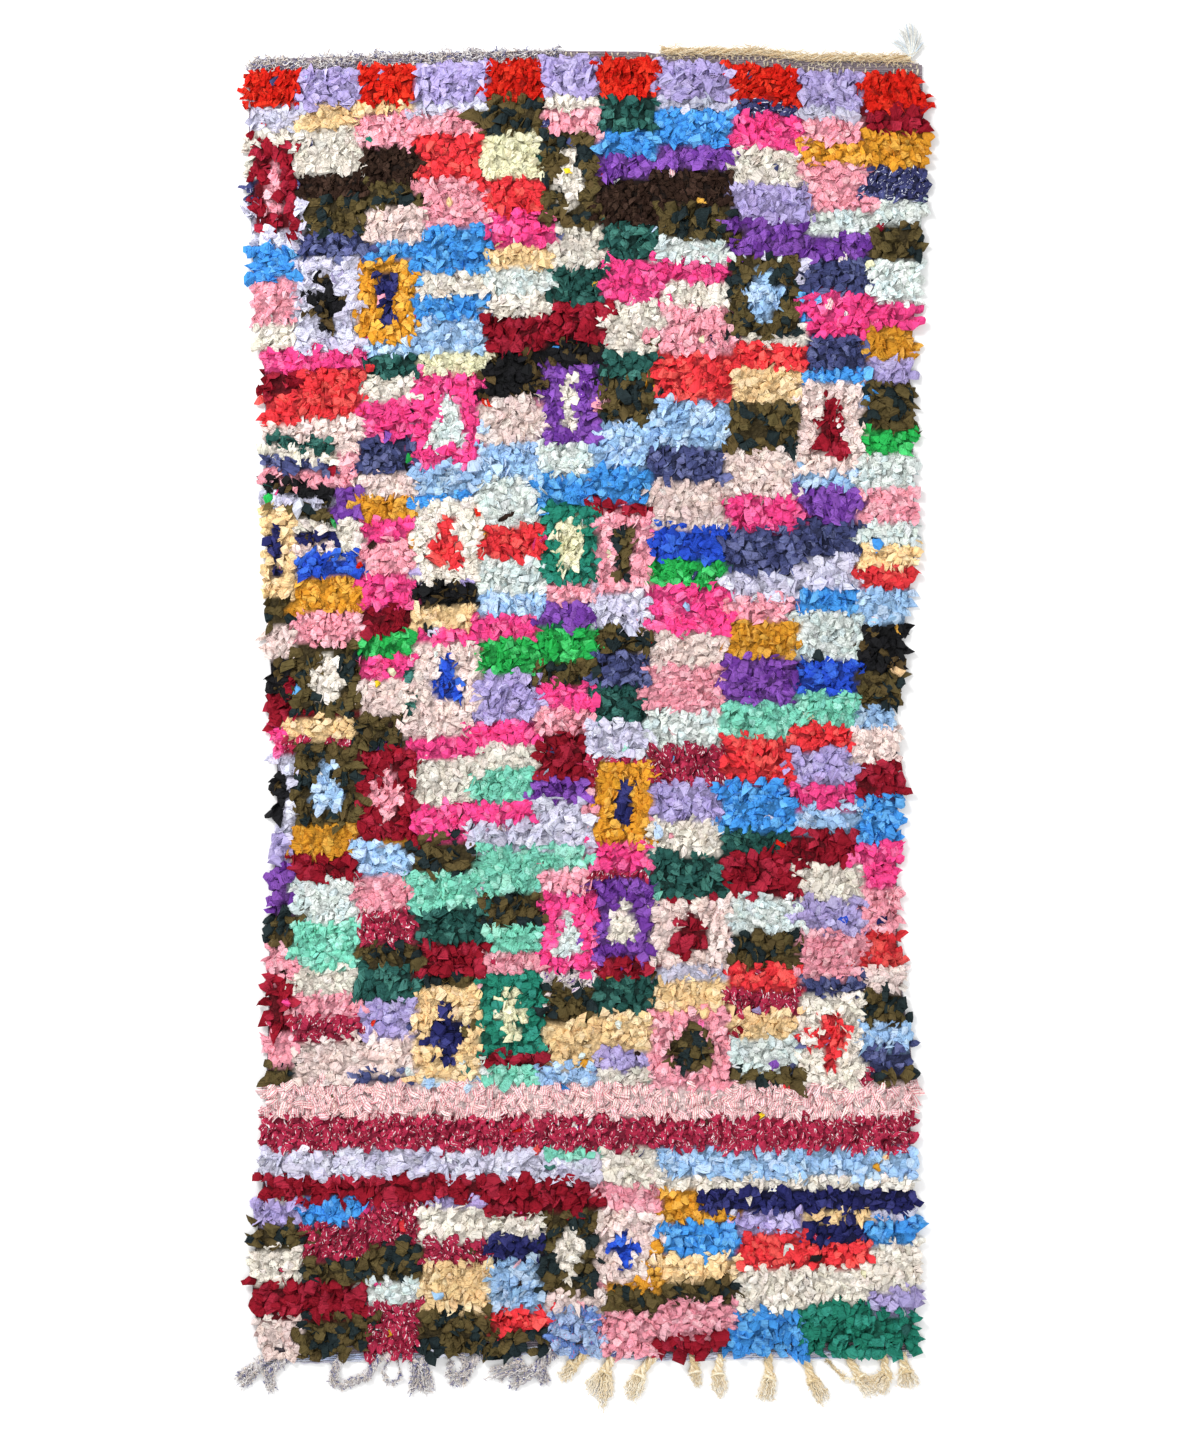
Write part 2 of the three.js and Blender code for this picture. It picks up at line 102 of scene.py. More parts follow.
# Woven ground.
# Grey-mauve weft beaten down hard on cream warp, about 3.5 mm thick, which shows bare only at
# the upper end and on the underside. It is the cloth that everything else is knotted into.
CAD_MIDDLE = (0.00063, 1.26118)  # of the rug's box, from the tables' middle line and foot
CLOTH_LENGTH, CLOTH_WIDTH = 2.6, 1.31
GROUND_THICK = 0.0035
GROUND_LIFT = 0.0003  # of its underside above the floor
GROUND_INSET = 0.004  # between the ground's edge and the tables' edge of the pile
SIDES = np.array([  # along, left edge, right edge
    (0.00, -0.644, 0.660), (0.11, -0.673, 0.667), (0.22, -0.664, 0.670), (0.40, -0.643, 0.655),
    (0.58, -0.641, 0.661), (0.70, -0.638, 0.642), (0.84, -0.636, 0.629), (1.00, -0.624, 0.628),
    (1.18, -0.620, 0.633), (1.30, -0.630, 0.619), (1.46, -0.638, 0.642), (1.60, -0.640, 0.663),
    (1.80, -0.644, 0.662), (1.98, -0.645, 0.654), (2.12, -0.666, 0.666), (2.30, -0.674, 0.680),
    (2.47, -0.678, 0.682), (2.57, -0.676, 0.680), (2.60, -0.668, 0.664),
])
ENDS = np.array([  # across, foot of the pile, its upper end, edge of the hem
    (-0.69, -0.012, 2.552, 2.582), (-0.53, -0.012, 2.560, 2.588), (-0.29, 0.000, 2.572, 2.596),
    (-0.08, 0.006, 2.580, 2.601), (0.12, -0.008, 2.578, 2.599), (0.16, -0.008, 2.576, 2.592),
    (0.35, -0.004, 2.566, 2.591), (0.43, -0.004, 2.558, 2.580), (0.69, 0.000, 2.550, 2.576),
])


def linear(code):
    """The linear colour of a hex code."""
    values = np.array([int(code[i : i + 2], 16) for i in (0, 2, 4)]) / 255
    return np.where(values <= 0.04045, values / 12.92, ((values + 0.055) / 1.055) ** 2.4)


def side_at(along, right):
    return np.interp(along, SIDES[:, 0], SIDES[:, 2 if right else 1])


def end_at(across, which):
    return np.interp(across, ENDS[:, 0], ENDS[:, ("foot", "pile", "hem").index(which) + 1])


def laid(across, along, height):
    """Points of the tables' measures in the rug's own frame."""
    return np.stack(np.broadcast_arrays(across - CAD_MIDDLE[0], along - CAD_MIDDLE[1], height), axis=-1)


class Finish:
    """A material with a Principled shader, and short ways to add nodes to it."""

    def __init__(self, name, roughness, sheen=0.0):
        self.material = bpy.data.materials.new(name)
        self.material.use_nodes = True
        self.nodes = self.material.node_tree.nodes
        self.links = self.material.node_tree.links
        self.shader = self.nodes["Principled BSDF"]
        self.shader.inputs["Roughness"].default_value = roughness
        self.shader.inputs["Specular IOR Level"].default_value = 0.2
        self.shader.inputs["Sheen Weight"].default_value = sheen
        self.shader.inputs["Sheen Roughness"].default_value = 0.6

    def node(self, kind, inputs=(), **settings):
        """Adds a node. inputs pairs a socket with the value or the output that it gets."""
        node = self.nodes.new(kind)
        for key, value in settings.items():
            setattr(node, key, value)
        for key, value in dict(inputs).items():
            if isinstance(value, bpy.types.NodeSocket):
                self.links.new(value, node.inputs[key])
            else:
                node.inputs[key].default_value = value
        return node

    def place(self):
        return self.node("ShaderNodeTexCoord").outputs["Object"]

    def attribute(self, name, output="Vector"):
        return self.node("ShaderNodeAttribute", attribute_name=name).outputs[output]

    def noise(self, vector, scale, detail=2.0, roughness=0.5):
        inputs = {"Vector": vector, "Scale": scale, "Detail": detail, "Roughness": roughness}
        return self.node("ShaderNodeTexNoise", inputs).outputs["Fac"]

    def cells(self, vector, scale):
        return self.node("ShaderNodeTexVoronoi", {"Vector": vector, "Scale": scale}).outputs["Distance"]

    def scaled(self, vector, scale):
        return self.node("ShaderNodeMapping", {"Vector": vector, "Scale": scale}).outputs[0]

    def math(self, operation, first, second):
        return self.node("ShaderNodeMath", {0: first, 1: second}, operation=operation).outputs[0]

    def steps(self, value, low, high, to_low=0.0, to_high=1.0):
        """value between low and high, as a number between to_low and to_high."""
        inputs = {"Value": value, "From Min": low, "From Max": high, "To Min": to_low, "To Max": to_high}
        return self.node("ShaderNodeMapRange", inputs).outputs["Result"]

    def mix(self, share, first, second, blend="MIX"):
        inputs = {0: share, 6: first, 7: second}
        return self.node("ShaderNodeMix", inputs, data_type="RGBA", blend_type=blend).outputs[2]

    def finish(self, colour, *bumps):
        """Links the colour, and each (height, distance in metres) as a bump."""
        self.links.new(colour, self.shader.inputs["Base Color"])
        normal = None
        for height, distance in bumps:
            bump = self.node("ShaderNodeBump", {"Height": height, "Distance": distance, "Strength": 1.0})
            if normal:
                self.links.new(normal, bump.inputs["Normal"])
            normal = bump.outputs["Normal"]
        self.links.new(normal, self.shader.inputs["Normal"])
        return self.material


def add_attribute(mesh, name, values):
    """Gives each point of the mesh a colour, a vector or a number, by what the values are."""
    values = np.asarray(values, dtype=np.float32)
    if name.endswith("colour"):
        attribute = mesh.attributes.new(name, "FLOAT_COLOR", "POINT")
        values = np.column_stack([values, np.ones(len(values), dtype=np.float32)])
        attribute.data.foreach_set("color", values.reshape(-1))
    elif values.ndim == 2:
        attribute = mesh.attributes.new(name, "FLOAT_VECTOR", "POINT")
        attribute.data.foreach_set("vector", values.reshape(-1))
    else:
        attribute = mesh.attributes.new(name, "FLOAT", "POINT")
        attribute.data.foreach_set("value", values)


def add_piece(name, mesh, node):
    """A piece of the rug's body, that stands for a node of the frame."""
    piece = bpy.data.objects.new(name, mesh)
    scene.collection.objects.link(piece)
    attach(piece, "root")
    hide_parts(node)
    return piece


def mesh_piece(name, points, faces, material, slot, node, **attributes):
    """A piece from its points and its lists of faces, each of faces with as many corners."""
    mesh = bpy.data.meshes.new(name)
    sizes = np.concatenate([np.full(len(kind), kind.shape[1]) for kind in faces])
    corners = np.concatenate([kind.reshape(-1) for kind in faces])
    mesh.vertices.add(len(points))
    mesh.vertices.foreach_set("co", np.asarray(points, dtype=np.float32).reshape(-1))
    mesh.loops.add(len(corners))
    mesh.loops.foreach_set("vertex_index", corners.astype(np.int32))
    mesh.polygons.add(len(sizes))
    mesh.polygons.foreach_set("loop_start", (np.cumsum(sizes) - sizes).astype(np.int32))
    mesh.polygons.foreach_set("use_smooth", np.full(len(sizes), True))
    for key, values in attributes.items():
        add_attribute(mesh, key, values)
    mesh.update(calc_edges=True)
    mesh.validate()
    mesh.materials.append(material)
    return add_piece(name, mesh, node)


def slab_faces(rows, columns):
    """Faces of a slab: quads for its top and its rim, and one face for its underside."""
    index = np.arange(rows * columns).reshape(rows, columns)
    top = np.stack([index[:-1, :-1], index[:-1, 1:], index[1:, 1:], index[1:, :-1]], axis=-1).reshape(-1, 4)
    rim = np.concatenate([index[0, :-1], index[:-1, -1], index[-1, :0:-1], index[:0:-1, 0]])
    below = rows * columns + np.arange(len(rim))
    walls = np.stack([below, np.roll(below, -1), np.roll(rim, -1), rim], axis=-1)
    return rim, [top, walls, below[None, ::-1]]


ground_along = np.concatenate([np.linspace(0, 2.53, 50), np.linspace(2.54, CLOTH_LENGTH, 14)])
ground_across = np.linspace(
    side_at(ground_along, False) + GROUND_INSET, side_at(ground_along, True) - GROUND_INSET, 65, axis=1
)
ground_up = end_at(ground_across, "foot") + (ground_along / CLOTH_LENGTH)[:, None] * (
    end_at(ground_across, "hem") - end_at(ground_across, "foot")
)
rng = np.random.default_rng(3)
ground_lift = GROUND_THICK + 0.0004 * rng.standard_normal(ground_up.shape)
ground_top = laid(ground_across, ground_up, ground_lift).reshape(-1, 3)
ground_rim, ground_faces = slab_faces(*ground_up.shape)
weave = Finish("flat_weave", 0.95)
weft = weave.node(
    "ShaderNodeTexWave",
    {"Vector": weave.place(), "Scale": 62.0, "Distortion": 2.0, "Detail": 2.0, "Detail Scale": 3.0},
    bands_direction="Y",
).outputs["Fac"]
weft_colour = weave.mix(
    weave.steps(weave.noise(weave.place(), 26.0, 4.0, 0.7), 0.35, 0.65),
    (*linear("6f6672"), 1),
    (*linear("a79aa3"), 1),
)
# Painted shade: the weft is darker in the grooves between its ribs, where the bump is low.
weft_colour = weave.mix(weave.steps(weft, 0.0, 0.5, 0.6, 0.0), weft_colour, (*linear("4b444f"), 1))
ground = mesh_piece(
    "woven_ground",
    np.concatenate([ground_top, ground_top[ground_rim] * (1, 1, 0) + (0, 0, GROUND_LIFT)]),
    ground_faces,
    weave.finish(weft_colour, (weft, 0.0016), (weave.noise(weave.place(), 900.0), 0.0004)),
    "rag_pile",
    "rug_ground_and_pile",
)

# Pile, the pattern.
# Each rag is a strip cut from worn clothes: plain, melange, print or striped cloth. The weaver
# changes the rag every few knots, so the rug is a wall of small uneven blocks with framed
# figures between them and a few bands that cross it all.
KNOT_ROW = 0.023  # from one row of knots to the next
RAGS = {  # colour, other colour and its share, fleck colour and its share, width and length in mm
    "ivory": ("e4dcd0", "ece6dc", 0.35, None, 0, 15, 25),
    "mint_white": ("dbe2de", "cfdddd", 0.35, None, 0, 14, 25),
    "shell": ("e6cfc9", "ecdcd6", 0.3, None, 0, 15, 25),
    "pink": ("f09fae", "f4b8c2", 0.3, None, 0, 14, 25),
    "hot_pink": ("f64a90", "fb6fa6", 0.25, None, 0, 17, 26),
    "red": ("cf2116", "e03422", 0.3, None, 0, 9, 33),
    "coral": ("e63b42", "f05a56", 0.3, None, 0, 15, 26),
    "burgundy": ("8c1727", "a3263a", 0.35, None, 0, 22, 29),
    "lilac": ("ada0d2", "bdb2de", 0.3, None, 0, 20, 27),
    "pale_lilac": ("c9c7dc", "d6d5e4", 0.3, None, 0, 20, 27),
    "violet": ("8652b0", "6a3894", 0.35, None, 0, 20, 28),
    "sky": ("4696e2", "66aeea", 0.3, None, 0, 17, 26),
    "light_blue": ("9cc0e6", "b9d1ea", 0.4, None, 0, 17, 26),
    "royal": ("2c52cc", "3d6cdc", 0.3, None, 0, 17, 26),
    "navy": ("26285c", "3a3c76", 0.3, None, 0, 17, 27),
    "slate": ("464c78", "646a96", 0.35, None, 0, 15, 25),
    "teal": ("267d68", "35917e", 0.3, None, 0, 17, 26),
    "dark_teal": ("28544e", "3f736a", 0.3, None, 0, 17, 26),
    "mint": ("80d4bb", "9fe0cc", 0.3, None, 0, 15, 25),
    "emerald": ("2aab50", "48c46c", 0.3, None, 0, 17, 26),
    "olive": ("5c4f30", "242f31", 0.35, None, 0, 20, 28),
    "black": ("1e1e20", "55462b", 0.2, None, 0, 18, 27),
    "brown": ("33231c", "46332a", 0.3, None, 0, 9, 27),
    "mustard": ("d8962f", "e6ad4a", 0.35, None, 0, 15, 27),
    "yellow": ("efcd2e", "e4b42c", 0.25, None, 0, 10, 26),
    "peach": ("ecca96", "f0d6ac", 0.3, None, 0, 16, 25),
    "pale_yellow": ("e4e0bb", "ebe8cb", 0.3, None, 0, 14, 25),
    "crimson_print": ("b4304f", "98263f", 0.3, "f0dfe2", 0.22, 11, 27),
    "navy_melange": ("3a3d68", "4c5080", 0.3, "d9dcec", 0.24, 11, 27),
    "violet_fleck": ("e0d6d2", "d8ccd0", 0.3, "5f3088", 0.3, 13, 26),
    "blue_print": ("a9bfe4", "6f8fd0", 0.4, "e06a86", 0.16, 14, 26),
    "pink_stripe": ("eed3d2", "f2dedb", 0.3, "dc7482", 0.2, 12, 30),
}
RAG_NAMES = list(RAGS)
COLUMN_WIDTHS = (0.105, 0.155)
COLUMN_SPAN = (-0.70, 0.60)  # across, from the first column's start to the last joint
PAST_SIDE = 0.80  # across, beyond the cloth
ZONES = [  # upper limit along the rug, and the rags that its weaver reached for, with how often
    (0.31, "navy lilac*2 ivory*3 pink*3 crimson_print burgundy*2 mustard teal olive*2 peach light_blue "
           "pale_lilac*2 shell*3 mint_white sky blue_print coral"),
    (0.84, "crimson_print*2 burgundy*2 lilac*2 olive*2 ivory*4 mint pink*2 shell*3 slate violet_fleck "
           "blue_print light_blue peach pink_stripe pale_lilac*3 mint_white*2 dark_teal coral"),
    (1.30, "burgundy*2 violet sky hot_pink*2 ivory*4 slate olive*2 pink*3 mustard lilac crimson_print "
           "mint_white*2 shell*4 pale_lilac*2 peach light_blue dark_teal coral mint"),
    (1.84, "burgundy*2 hot_pink*2 violet*2 sky olive*2 ivory*4 shell*4 lilac pale_lilac*3 peach pink*3 "
           "mustard coral slate royal light_blue*2 mint_white*2 emerald black"),
    (2.20, "shell*4 ivory*3 mint_white*2 pale_yellow lilac pale_lilac*3 violet hot_pink*2 sky*2 olive*2 "
           "dark_teal burgundy*2 mustard pink*2 coral slate black peach light_blue ivory"),
    (2.60, "shell*4 ivory*4 pale_lilac*3 lilac violet hot_pink*2 olive*2 mustard pink*2 burgundy "
           "dark_teal brown navy_melange crimson_print pink_stripe pale_yellow sky mint_white*2 peach "
           "coral"),
]
TOP_ROWS = 3
TOP_RAGS = "red", "lilac"
BLOCK_ROWS = ((2, 0.3), (3, 0.48), (4, 0.22))
JOINT_SHIFT = 0.008  # how far a block's side steps in and out from one row to the next
JOINED_BLOCKS = 0.2  # share of blocks that run on from the one to their left
UNLIKE = 0.25  # least difference in colour between blocks that touch
BLOCK_TURN, FEW_TURNS = 20, (0, 0, 0, 0, 65, -65)  # of a block's rags off their heading, in degrees
BANDS = [  # along from, to, across from, to, rag
    (0.470, 0.534, -1, 1, "pink_stripe"),
    (0.402, 0.470, -1, 1, "crimson_print"),
    (0.348, 0.402, -1, -0.08, "pale_lilac"),
    (0.302, 0.348, -1, -0.08, "burgundy"),
    (0.348, 0.402, 0.15, 1, "light_blue"),
    (0.325, 0.348, 0.15, 1, "ivory"),
    (0.280, 0.325, 0.23, 1, "navy"),
]
FIGURE_LEVELS = (  # along the rug, and how many framed figures lie there
    (0.19, 2), (0.64, 4), (0.86, 3), (1.12, 4), (1.36, 2), (1.60, 4), (1.86, 3), (2.10, 3), (2.33, 2),
)
FIGURE_ROWS = (6, 7, 8)  # a figure's length in rows of knots
FIGURE_REACH = 0.66  # across, as far as its frame may go
FIGURE_SHIFT = 0.02  # along, off its level
FIGURE_PAIRS = [  # the frame's ground and its figure
    ("olive", "ivory"), ("shell", "royal"), ("peach", "navy"), ("teal", "pale_yellow"), ("ivory", "coral"),
    ("pink", "olive"), ("hot_pink", "mint_white"), ("violet", "ivory"), ("shell", "burgundy"),
    ("olive", "light_blue"), ("pale_lilac", "black"), ("mustard", "navy"), ("burgundy", "pink"),
]
FORMS = {  # a figure's half width, as a share of its frame's, at a height from -1 to 1
    "lozenge": lambda h: 0.66 * (1 - np.abs(h) / 0.72),
    "stepped": lambda h: np.where(np.abs(h) < 0.3, 0.54, np.where(np.abs(h) < 0.68, 0.28, 0)),
    "peak": lambda h: np.where(np.abs(h) < 0.6, 0.36 * (1 - h), 0),
    "cross": lambda h: np.where(np.abs(h) < 0.2, 0.6, np.where(np.abs(h) < 0.62, 0.24, 0)),
    "upright": lambda h: np.where(np.abs(h) < 0.62, 0.28, 0),
}
STRIPED_PANEL = (-0.80, -0.50, 1.62, 1.87)  # thin slanting stripes: across from, to, along from, to
STRIPED_RAGS = "shell navy ivory olive pale_lilac black pink slate ivory dark_teal shell".split()


def counted(words):
    """The names in words, each as often as the number after its star says."""
    pairs = [word.partition("*") for word in words.split()]
    return [name for name, _, times in pairs for _ in range(int(times or 1))]


rng = np.random.default_rng(20)
hues = np.array([linear(fact[0]) for fact in RAGS.values()]) ** 0.4
row_count = int((np.mean(ENDS[:, 2]) - np.mean(ENDS[:, 1])) / KNOT_ROW)
columns = COLUMN_SPAN[0] + np.cumsum(rng.uniform(*COLUMN_WIDTHS, 16))
columns = np.concatenate([[-PAST_SIDE], columns[columns < COLUMN_SPAN[1]], [PAST_SIDE]])
layout = np.zeros((len(columns) - 1, row_count), dtype=int)
block_of = np.zeros_like(layout)
block = 0
for column in range(len(layout)):
    row = -int(rng.integers(0, 3))
    while row < row_count:
        rows = int(rng.choice([b[0] for b in BLOCK_ROWS], p=[b[1] for b in BLOCK_ROWS]))
        first, past = max(row, 0), min(row + rows, row_count)
        row += rows
        if first >= past:
            continue
        block += 1
        block_of[column, first:past] = block
        along = (first + 0.5) * KNOT_ROW
        zone = next(counted(words) for limit, words in ZONES if along <= limit)
        beside = set(layout[column - 1, first:past]) if column else set()
        below = {layout[column, first - 1]} if first else set()
        if column and rng.random() < JOINED_BLOCKS:
            choice = layout[column - 1, first]
        else:
            free = [n for n in map(RAG_NAMES.index, zone) if n not in beside | below]
            tried = [free[int(rng.integers(len(free)))] for _ in range(4)]
            near = hues[list(beside | below)]
            apart = [np.abs(near - hues[n]).sum(axis=-1).min(initial=9.0) for n in tried]
            choice = tried[int(np.argmax(np.array(apart) > UNLIKE))]
        layout[column, first:past] = choice
for column in range(len(layout)):
    layout[column, -TOP_ROWS:] = RAG_NAMES.index(TOP_RAGS[column % 2])
figures = []  # middle across and along, half width and half length, ground, figure and its form
for level, count in FIGURE_LEVELS:
    for column in rng.choice(len(layout), count, replace=False):
        left, right = np.clip(columns[column : column + 2], -FIGURE_REACH, FIGURE_REACH)
        along = level + rng.normal(0, FIGURE_SHIFT)
        long = KNOT_ROW * int(rng.choice(FIGURE_ROWS))
        back, figure = FIGURE_PAIRS[len(figures) % len(FIGURE_PAIRS)]
        form = str(rng.choice(list(FORMS)))
        figures.append(((left + right) / 2, along, (right - left) / 2, long / 2, back, figure, form))
block_turn = rng.normal(0, BLOCK_TURN, block + 1) + rng.choice(FEW_TURNS, block + 1)
block_turn[0] = 0  # in bands and figures
block_tint = rng.normal(0, 0.06, block + 1)
joint_shift = rng.normal(0, JOINT_SHIFT, (len(columns) + 1, row_count))


def pattern_at(across, along, row):
    """The rag, as its place in RAG_NAMES, and the block, of knots at these places and rows."""
    across_here = across - 0.011 * np.sin(along * 3.1 + 1.0) - 0.006 * np.sin(along * 9.7)
    joint = np.searchsorted((columns[1:] + columns[:-1]) / 2, across_here)
    column = np.searchsorted(columns, across_here - joint_shift[joint, row]) - 1
    column = np.clip(column, 0, len(layout) - 1)
    rag, within = layout[column, row], block_of[column, row]
    for low, high, left, right, name in BANDS:
        inside = (along > low) & (along < high) & (across > left) & (across < right)
        rag = np.where(inside, RAG_NAMES.index(name), rag)
        within = np.where(inside, 0, within)
    left, right, low, high = STRIPED_PANEL
    slant = along + (across - left) * 0.1
    stripe = np.array([RAG_NAMES.index(name) for name in STRIPED_RAGS])
    stripe = stripe[np.clip((slant - low) / KNOT_ROW, 0, len(stripe) - 1).astype(int)]
    inside = (across > left) & (across < right) & (slant > low) & (slant < high)
    rag = np.where(inside, stripe, rag)
    for x, y, half_width, half_length, back, figure, form in figures:
        u, v = (across - x) / half_width, (along - y) / half_length
        inside = (np.abs(u) < 1) & (np.abs(v) < 1)
        rag = np.where(inside, RAG_NAMES.index(back), rag)
        within = np.where(inside, 0, within)
        rag = np.where((np.abs(u) < FORMS[form](v)) & inside, RAG_NAMES.index(figure), rag)
    return rag, within


def depth_of(colour):
    """The painted shade at the bottom of the gaps between rags, as the share of its colour that a rag keeps
    there: pale rags pass light on to each other, so they keep more.
    """
    return np.interp(colour @ (0.2126, 0.7152, 0.0722), (0.02, 0.3, 0.65), (0.4, 0.72, 0.94))


def rag_facts(rag, column):
    """A column of the rags' table for each knot's rag: a linear colour or a number."""
    values = [fact[column] for fact in RAGS.values()]
    if column in (0, 1, 3):
        return np.array([linear(code or "000000") for code in values])[rag]
    return np.array(values)[rag]


# Pile, the knots.
# The feet of the rags, tied round pairs of warps and packed against each other. They show only
# as the bottom of the gaps between the rag ends, dark with painted shade.
KNOT_CELL = 0.012
KNOT_TOP = 0.0145
BED_INSET = 0.006  # from the sides of the pile
BED_RIM = 0.006  # its height round the edge
bed_along = np.linspace(0.006, 0.994, int(CLOTH_LENGTH / KNOT_CELL))
bed_across = np.linspace(
    side_at(bed_along * CLOTH_LENGTH, False) + BED_INSET,
    side_at(bed_along * CLOTH_LENGTH, True) - BED_INSET,
    int(CLOTH_WIDTH / KNOT_CELL),
    axis=1,
)
bed_foot = end_at(bed_across, "foot")
bed_up = bed_foot + bed_along[:, None] * (end_at(bed_across, "pile") - bed_foot)
rng = np.random.default_rng(5)
bed_lift = KNOT_TOP + 0.0024 * rng.standard_normal(bed_up.shape)
bed_lift += 0.0016 * np.sin(bed_along[:, None] * row_count * 2 * math.pi)
bed_lift[[0, -1], :] = BED_RIM
bed_lift[:, [0, -1]] = BED_RIM
bed_top = laid(bed_across, bed_up, np.clip(bed_lift, 0.005, 0.020)).reshape(-1, 3)
bed_rim, bed_faces = slab_faces(*bed_up.shape)
bed_row = np.clip((bed_along * row_count).astype(int), 0, row_count - 1)
bed_rag, _ = pattern_at(
    bed_across + rng.normal(0, 0.004, bed_up.shape), bed_up, np.broadcast_to(bed_row[:, None], bed_up.shape)
)
bed_colour = rag_facts(bed_rag, 0)
# Painted shade: the bed takes its rags' colours, darkened as the bottom of a gap.
bed_colour = bed_colour * (depth_of(bed_colour) * rng.uniform(0.85, 1.1, bed_up.shape))[..., None]
bed_colour = bed_colour.reshape(-1, 3)
knot_cloth = Finish("knotted_feet", 0.95)
knot_fold = knot_cloth.cells(knot_cloth.place(), 120.0)
# Painted shade: the feet are darker in the creases of their crumple, where its bump is low, and a little
# lighter on its tops.
knot_crease_shade = knot_cloth.steps(knot_fold, 0.1, 0.8, 1.08, 0.62)
knot_colour = knot_cloth.mix(1.0, knot_cloth.attribute("rag_colour", "Color"), knot_crease_shade, "MULTIPLY")
mesh_piece(
    "knot_bed",
    np.concatenate([bed_top, bed_top[bed_rim] * (1, 1, 0) + (0, 0, 0.002)]),
    bed_faces,
    knot_cloth.finish(
        knot_colour, (knot_fold, -0.006), (knot_cloth.noise(knot_cloth.place(), 300.0), 0.002)
    ),
    "rag_pile",
    "rug_ground_and_pile",
    rag_colour=np.concatenate([bed_colour, bed_colour[bed_rim]]),
)

# Pile, the rags.
# Every knot ties in one strip, whose two cut ends stand up and fall over, most of them towards
# the rug's foot. Each end is a thin folded flap that bends over, twists and opens to its cut.
STATIONS = np.array((0.0, 0.42, 0.74, 1.0))  # along a flap
STATION_WIDTHS = np.array((0.5, 0.96, 1.08, 1.0))
FOLD = 4  # points round a flap: its left edge, its fold, its right edge and the fold's underside
PILE_BANDS = 6  # pieces that the pile is made in
ODD_RAGS = 0.008  # share of rags that aren't their block's
PILE_LIMIT = 0.037  # height that no rag passes
OVERLAP = 0.72  # share of its width that a rag takes up in its row
FULLNESS = 1.14  # how much wider a rag lies than it was cut
RIM_WIDTH = 0.03  # of the strip along each side whose rags fall outwards
BEHIND = 0.36  # share of a flap's length that lies behind the middle of its knot
KNOT_PITCH = 0.0065  # from one place for a rag to the next in a row, for the narrowest


def knot_places(rows_here, inset, seed):
    """Places for rags in these rows: across, along and row."""
    rng = np.random.default_rng(seed)
    across, along, rows = [], [], []
    for row in rows_here:
        share = (row + 0.5) / row_count
        left = side_at(share * CLOTH_LENGTH, False) + inset
        right = side_at(share * CLOTH_LENGTH, True) - inset
        count = int((right - left) / KNOT_PITCH)
        x = np.linspace(left, right, count) + rng.normal(0, KNOT_PITCH * 0.3, count)
        foot, top = end_at(x, "foot") + 0.012, end_at(x, "pile") - 0.006
        sway = 0.003 * np.sin(x * 7 + row * 0.35) + rng.normal(0, KNOT_ROW * 0.12, count)
        across.append(x)
        along.append(foot + (top - foot) * share + sway)
        rows.append(np.full(count, min(max(int(row), 0), row_count - 1)))
    return np.concatenate(across), np.concatenate(along), np.concatenate(rows)


